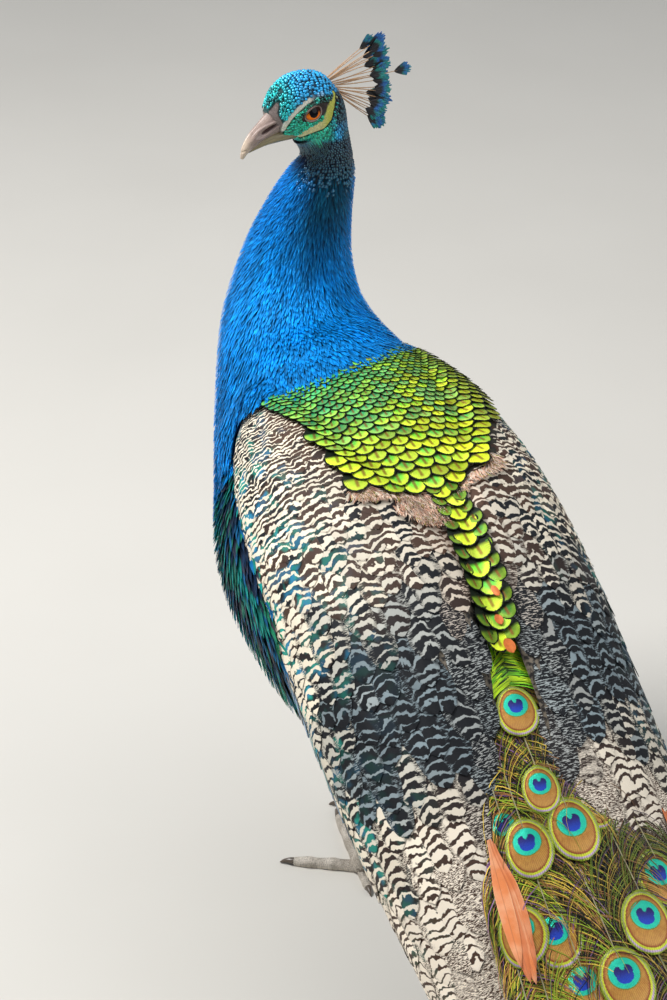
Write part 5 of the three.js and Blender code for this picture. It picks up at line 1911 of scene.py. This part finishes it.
def make_eyes():
    """Eyeballs, and a rim of lid round the opening over each: rolled at its edge, sinking into the skin
    outside."""
    ball = eye_finish_ball()
    f = Finish("eye_lid", Roughness=0.5)
    grain = f.noise(1500, 3)
    colour = f.mix(f.rise(grain, 0.4, 0.7), 0x3A2620, 0x6E5248)
    f.colour(f.mix(f.value("rim"), colour, 0xD2BFB0))
    f.bump(grain, 0.15, 0.8)
    for name, side in (("left", 1), ("right", -1)):
        centre = head_point(EYE["ahead"], EYE["above"], EYE["aside"] * side)
        aim = unit(HEAD_LEFT * side + FACING * 0.1 + HEAD_UP * 0.1)
        up = unit(HEAD_UP - aim * (aim @ HEAD_UP))
        across = np.cross(up, aim)
        T, P = grid(np.linspace(0.02, np.pi - 0.02, 60), turns(64))
        radius = EYE["radius"] - 0.12
        rings = centre + radius * (
            aim * np.cos(T)[..., None]
            + (across * np.cos(P)[..., None] + up * np.sin(P)[..., None]) * np.sin(T)[..., None]
        )
        points, quads, tris = shell(rings)
        d = points - centre
        out = np.hypot(d @ across, d @ up) + 20 * ((d @ aim) < 0)
        # low: 0 at the top of the ball and 1 below its middle; it sets where the iris is painted as shaded by
        # the lid.
        low = smooth(-(d @ up), -1.5, 2.6)
        put("eye_ball_" + name, points, quads, ball, tris, None, {"out": out, "low": low}, None,
            ("eye_" + name,))

        around = 120
        rho = np.array([0.93, 0.96, 0.99, 1.02, 1.05, 1.09, 1.13, 1.17, 1.21, 1.25, 1.31, 1.38])
        high = np.array([-0.35, 0.05, 0.45, 0.7, 0.78, 0.7, 0.5, 0.62, 0.6, 0.35, 0.0, -0.6])
        R, P = grid(rho, turns(around))
        H = np.broadcast_to(high[:, None], R.shape) + 0.12 * np.sin(P * 3 + R * 9)
        x = LIDS["long"] * (R**1.9 * np.cos(P) ** 2) ** (1 / 1.8) * np.sign(np.cos(P))
        y = LIDS["high"] * (R**1.9 * np.sin(P) ** 2) ** 0.5 * np.sign(np.sin(P))
        x, y = tilted(x, y, -LIDS["tilt"])
        x, y = x + LIDS["ahead"], y + LIDS["above"]
        arc = np.hypot(x, y)
        angle = arc / EYE["radius"]
        flat = (FACING * (x / arc)[..., None] + HEAD_UP * (y / arc)[..., None]) * np.sin(angle)[..., None]
        lid = centre + (flat + HEAD_LEFT * side * np.cos(angle)[..., None]) * (EYE["radius"] + H)[..., None]
        quads = band_faces(len(rho), around)
        p = lid.reshape(-1, 3)
        corner, after, _, below = p[quads[0]]
        if np.cross(after - corner, below - corner) @ (corner - centre) < 0:
            quads = quads[:, ::-1]
        rim = (np.exp(-(((R - 1.03) / 0.035) ** 2)) * (0.45 - 0.3 * np.sin(P))
               + (0.45 - 0.25 * np.sin(P)) * np.exp(-(((R - 1.19) / 0.05) ** 2)))
        put("eye_lid_" + name, p, quads, f.material, None, None, {"rim": rim.ravel()}, None)


def make_crest():
    """Bare wiry shafts fanned from the back of the crown, each with a fan of blue-green barbs at its end."""
    chance = np.random.default_rng(91)
    n = CREST["shafts"]
    t = np.linspace(0, 1, n)
    root = (np.array(CREST["roots"][0], float) * (1 - t)[:, None]
            + np.array(CREST["roots"][1], float) * t[:, None])
    angle = (CREST["angles"][0] * (1 - t) + CREST["angles"][1] * t) * RAD
    bare = CREST["bare"] + 3 * ((np.arange(n) * 2) % 3) - 3 - 5 * t + chance.uniform(-2, 2, n)
    bare[n // 2] = CREST["lone"][1]
    angle[n // 2] = CREST["lone"][0] * RAD
    aside = chance.uniform(-2.6, 2.6, n)
    splay = chance.uniform(-0.05, 0.05, n)
    w = np.linspace(0, 1, 9)
    run = -5 + (bare[:, None] + 7) * w
    bend = chance.uniform(-1.2, 1.2, n)[:, None] * np.sin(np.pi * w)
    x = root[:, :1] - np.cos(angle)[:, None] * run + np.sin(angle)[:, None] * bend
    y = root[:, 1:] + np.sin(angle)[:, None] * run + np.cos(angle)[:, None] * bend
    z = aside[:, None] * (0.5 + 0.5 * w) + splay[:, None] * run
    line = head_point(x, y, z)
    way = unit(np.gradient(line, axis=1))
    one = unit(np.cross(way, HEAD_LEFT))
    two = np.cross(way, one)
    parts = []
    for k in range(n):
        P = turns(6)
        rings = line[k][:, None] + (
            one[k][:, None] * np.cos(P)[None, :, None] + two[k][:, None] * np.sin(P)[None, :, None]
        ) * np.linspace(0.55, 0.32, 9)[:, None, None]
        p, q, tr = shell(rings)
        parts.append((p, q, tr, np.zeros((len(p), 2)), 0.0))
    points, quads, tris, _, _ = joined(parts)
    horn = plain("crest_shaft", 0.4, 300, 2, 0x9A6E4C, 0xD9B48C)
    put("crest_shafts", points, quads, horn, tris, replaces=("crest",))

    # Fans: barbs that spread from each shaft's end, in two layers, widest at the tip.
    per = 34
    feather = np.repeat(np.arange(n), per)
    m = n * per
    lean = np.tile(np.linspace(-1, 1, per), n) + chance.uniform(-0.04, 0.04, m)
    long = (15.5 - 3.5 * lean**2) * chance.uniform(0.85, 1.1, m)
    heading = angle[feather] - lean * 0.46
    start = bare[feather] - 1.0
    u = np.linspace(0, 1, 5)[None, :]
    v = np.array([-1.0, 0, 1.0])[None, None, :]
    base_x = root[feather, 0] - np.cos(angle[feather]) * start
    base_y = root[feather, 1] + np.sin(angle[feather]) * start
    base_z = aside[feather] + splay[feather] * start
    half = 0.75 * np.sqrt(np.maximum(1 - ((u - 0.55) / 0.56) ** 2, 0.02))
    curl = lean[:, None] * u * u * 2.2
    px = (base_x[:, None] - np.cos(heading)[:, None] * long[:, None] * u
          + np.sin(angle[feather])[:, None] * curl * 0.3)
    py = (base_y[:, None] + np.sin(heading)[:, None] * long[:, None] * u
          + np.cos(angle[feather])[:, None] * curl * 0.3)
    pz = base_z[:, None] + chance.uniform(-1.5, 1.5, m)[:, None] * u
    sx, sy = np.sin(heading)[:, None], np.cos(heading)[:, None]
    X = px[:, :, None] + (sx * half)[:, :, None] * v
    Y = py[:, :, None] + (sy * half)[:, :, None] * v
    Z = pz[:, :, None] + 0.25 * (1 - v * v)
    points = head_point(X, Y, Z)
    faces = sheet_faces(m, 5, 3, False)
    p = points.reshape(-1, 3)
    corner, after, _, below = p[faces[0]]
    if np.cross(after - corner, below - corner) @ HEAD_LEFT < 0:
        faces = faces[:, ::-1]
    vane = np.stack(np.broadcast_arrays(0.5 + 0.5 * v + 0 * X, u[:, :, None] + 0 * X), -1)
    bake = np.stack(
        np.broadcast_arrays((0.03 + 0.94 * (feather + 0.5) / n)[:, None, None] + 0.003 * v / 2,
                            (0.5 + 0.46 * lean)[:, None, None] + 0.003 * (u[:, :, None] - 0.5)), -1
    )
    f = Finish("crest_fan", Roughness=0.36, Metallic=0.4, Sheen_Weight=0.3)
    x, y = f.uv("vane")
    tip = f.mix(f.rise(f.noise(130, 2), 0.4, 0.6), 0x1668B4, 0x0E8C86)
    colour = f.mix(f.rise(y + f.sway(110, 2) * 0.9, 0.5, 0.85), 0x0C0A12, tip)
    f.colour(f.mix(f.rise(f.noise(900, 2), 0.4, 0.7) * 0.5, colour, 0x0A0C14))
    put("crest_fans", p, faces, f.material, None, {"vane": vane, "OFBake": bake})


# -------------------- the bird, stage and light

make_skin()
make_head_coat()
make_neck_coat()
make_body_coat()
make_mantle()
covert = covert_finish()
edge_plume = plume_finish("wing_edge", 0.36, 0.5, 1.0, 0.3)
make_wing("left", 1, covert, edge_plume)
make_wing("right", -1, covert, edge_plume)
make_train()
make_primaries()
make_tail()
leg_scales = leg_finish()
claw_horn = horn_finish("claw_horn", 0x2E2721, 0x6A5C4E)
thigh_plume = plume_finish("thigh_plume", 0.6, 0.0, 1.0, 0.2)
make_leg("left", 1, leg_scales, claw_horn, thigh_plume)
make_leg("right", -1, leg_scales, claw_horn, thigh_plume)
make_bill()
make_eyes()
make_crest()


def make_stage():
    """A plain pale floor, wide enough for every view, with an even matt finish."""
    mesh = bpy.data.meshes.new("floor")
    mesh.from_pydata([(-6, -6, 0), (6, -6, 0), (6, 6, 0), (-6, 6, 0)], [], [(0, 1, 2, 3)])
    mesh.materials.append(plain("floor_matt", 0.85, 3, 3, 0xC6C2BA, 0xCECAC2))
    linked("floor", mesh)


CAMERA = {"azimuth": 244, "elevation": 30, "distance": 2.0, "lens": 88.2, "target": (0, 0, 300.0)}


def make_camera():
    """The camera, two metres from a point on the bird's middle line, looking down on its left side from
    behind."""
    azimuth, elevation = CAMERA["azimuth"] * RAD, CAMERA["elevation"] * RAD
    back = np.array(
        [np.sin(azimuth) * np.cos(elevation), -np.cos(azimuth) * np.cos(elevation), np.sin(elevation)]
    )
    right = np.array([np.cos(azimuth), np.sin(azimuth), 0.0])
    up = np.cross(back, right)
    target = (np.array(CAMERA["target"]) + SHIFT) / 1000
    lens = bpy.data.cameras.new("camera")
    lens.sensor_width, lens.lens = 36.0, CAMERA["lens"]
    camera = linked("camera", lens, (right, up, back, target + back * CAMERA["distance"]))
    bpy.context.scene.camera = camera
    return target, back, right, up


# How far the lamps are from what the camera looks at, in metres.
LAMPS_AWAY = 2.6


def make_lights(target, back, right, up):
    """A large soft key high on the bird's left, a weaker fill from the other side and an even pale
    surround."""
    for name, way, size, power in (
        ("key", -right * 0.75 + up * 0.9 + back * 0.55, 1.0, 76),
        ("fill", right * 0.9 + up * 0.35 + back * 0.6, 2.2, 16),
        ("top", up * 0.3 + np.array([0, 0, 1.0]), 2.5, 22),
    ):
        way = unit(way)
        light = bpy.data.lights.new(name, "AREA")
        light.shape, light.size, light.energy = "DISK", size, power
        side = unit(np.cross(np.array([0.0, 0.0, 1.0]), way))
        linked(name, light, (side, np.cross(way, side), way, target + way * LAMPS_AWAY))
    world = bpy.data.worlds.new("surround")
    world.use_nodes = True
    world.node_tree.nodes["Background"].inputs[0].default_value = (0.78, 0.83, 0.9, 1)
    world.node_tree.nodes["Background"].inputs[1].default_value = 0.42
    bpy.context.scene.world = world


make_stage()
make_lights(*make_camera())
bpy.context.scene.view_settings.view_transform = "Standard"
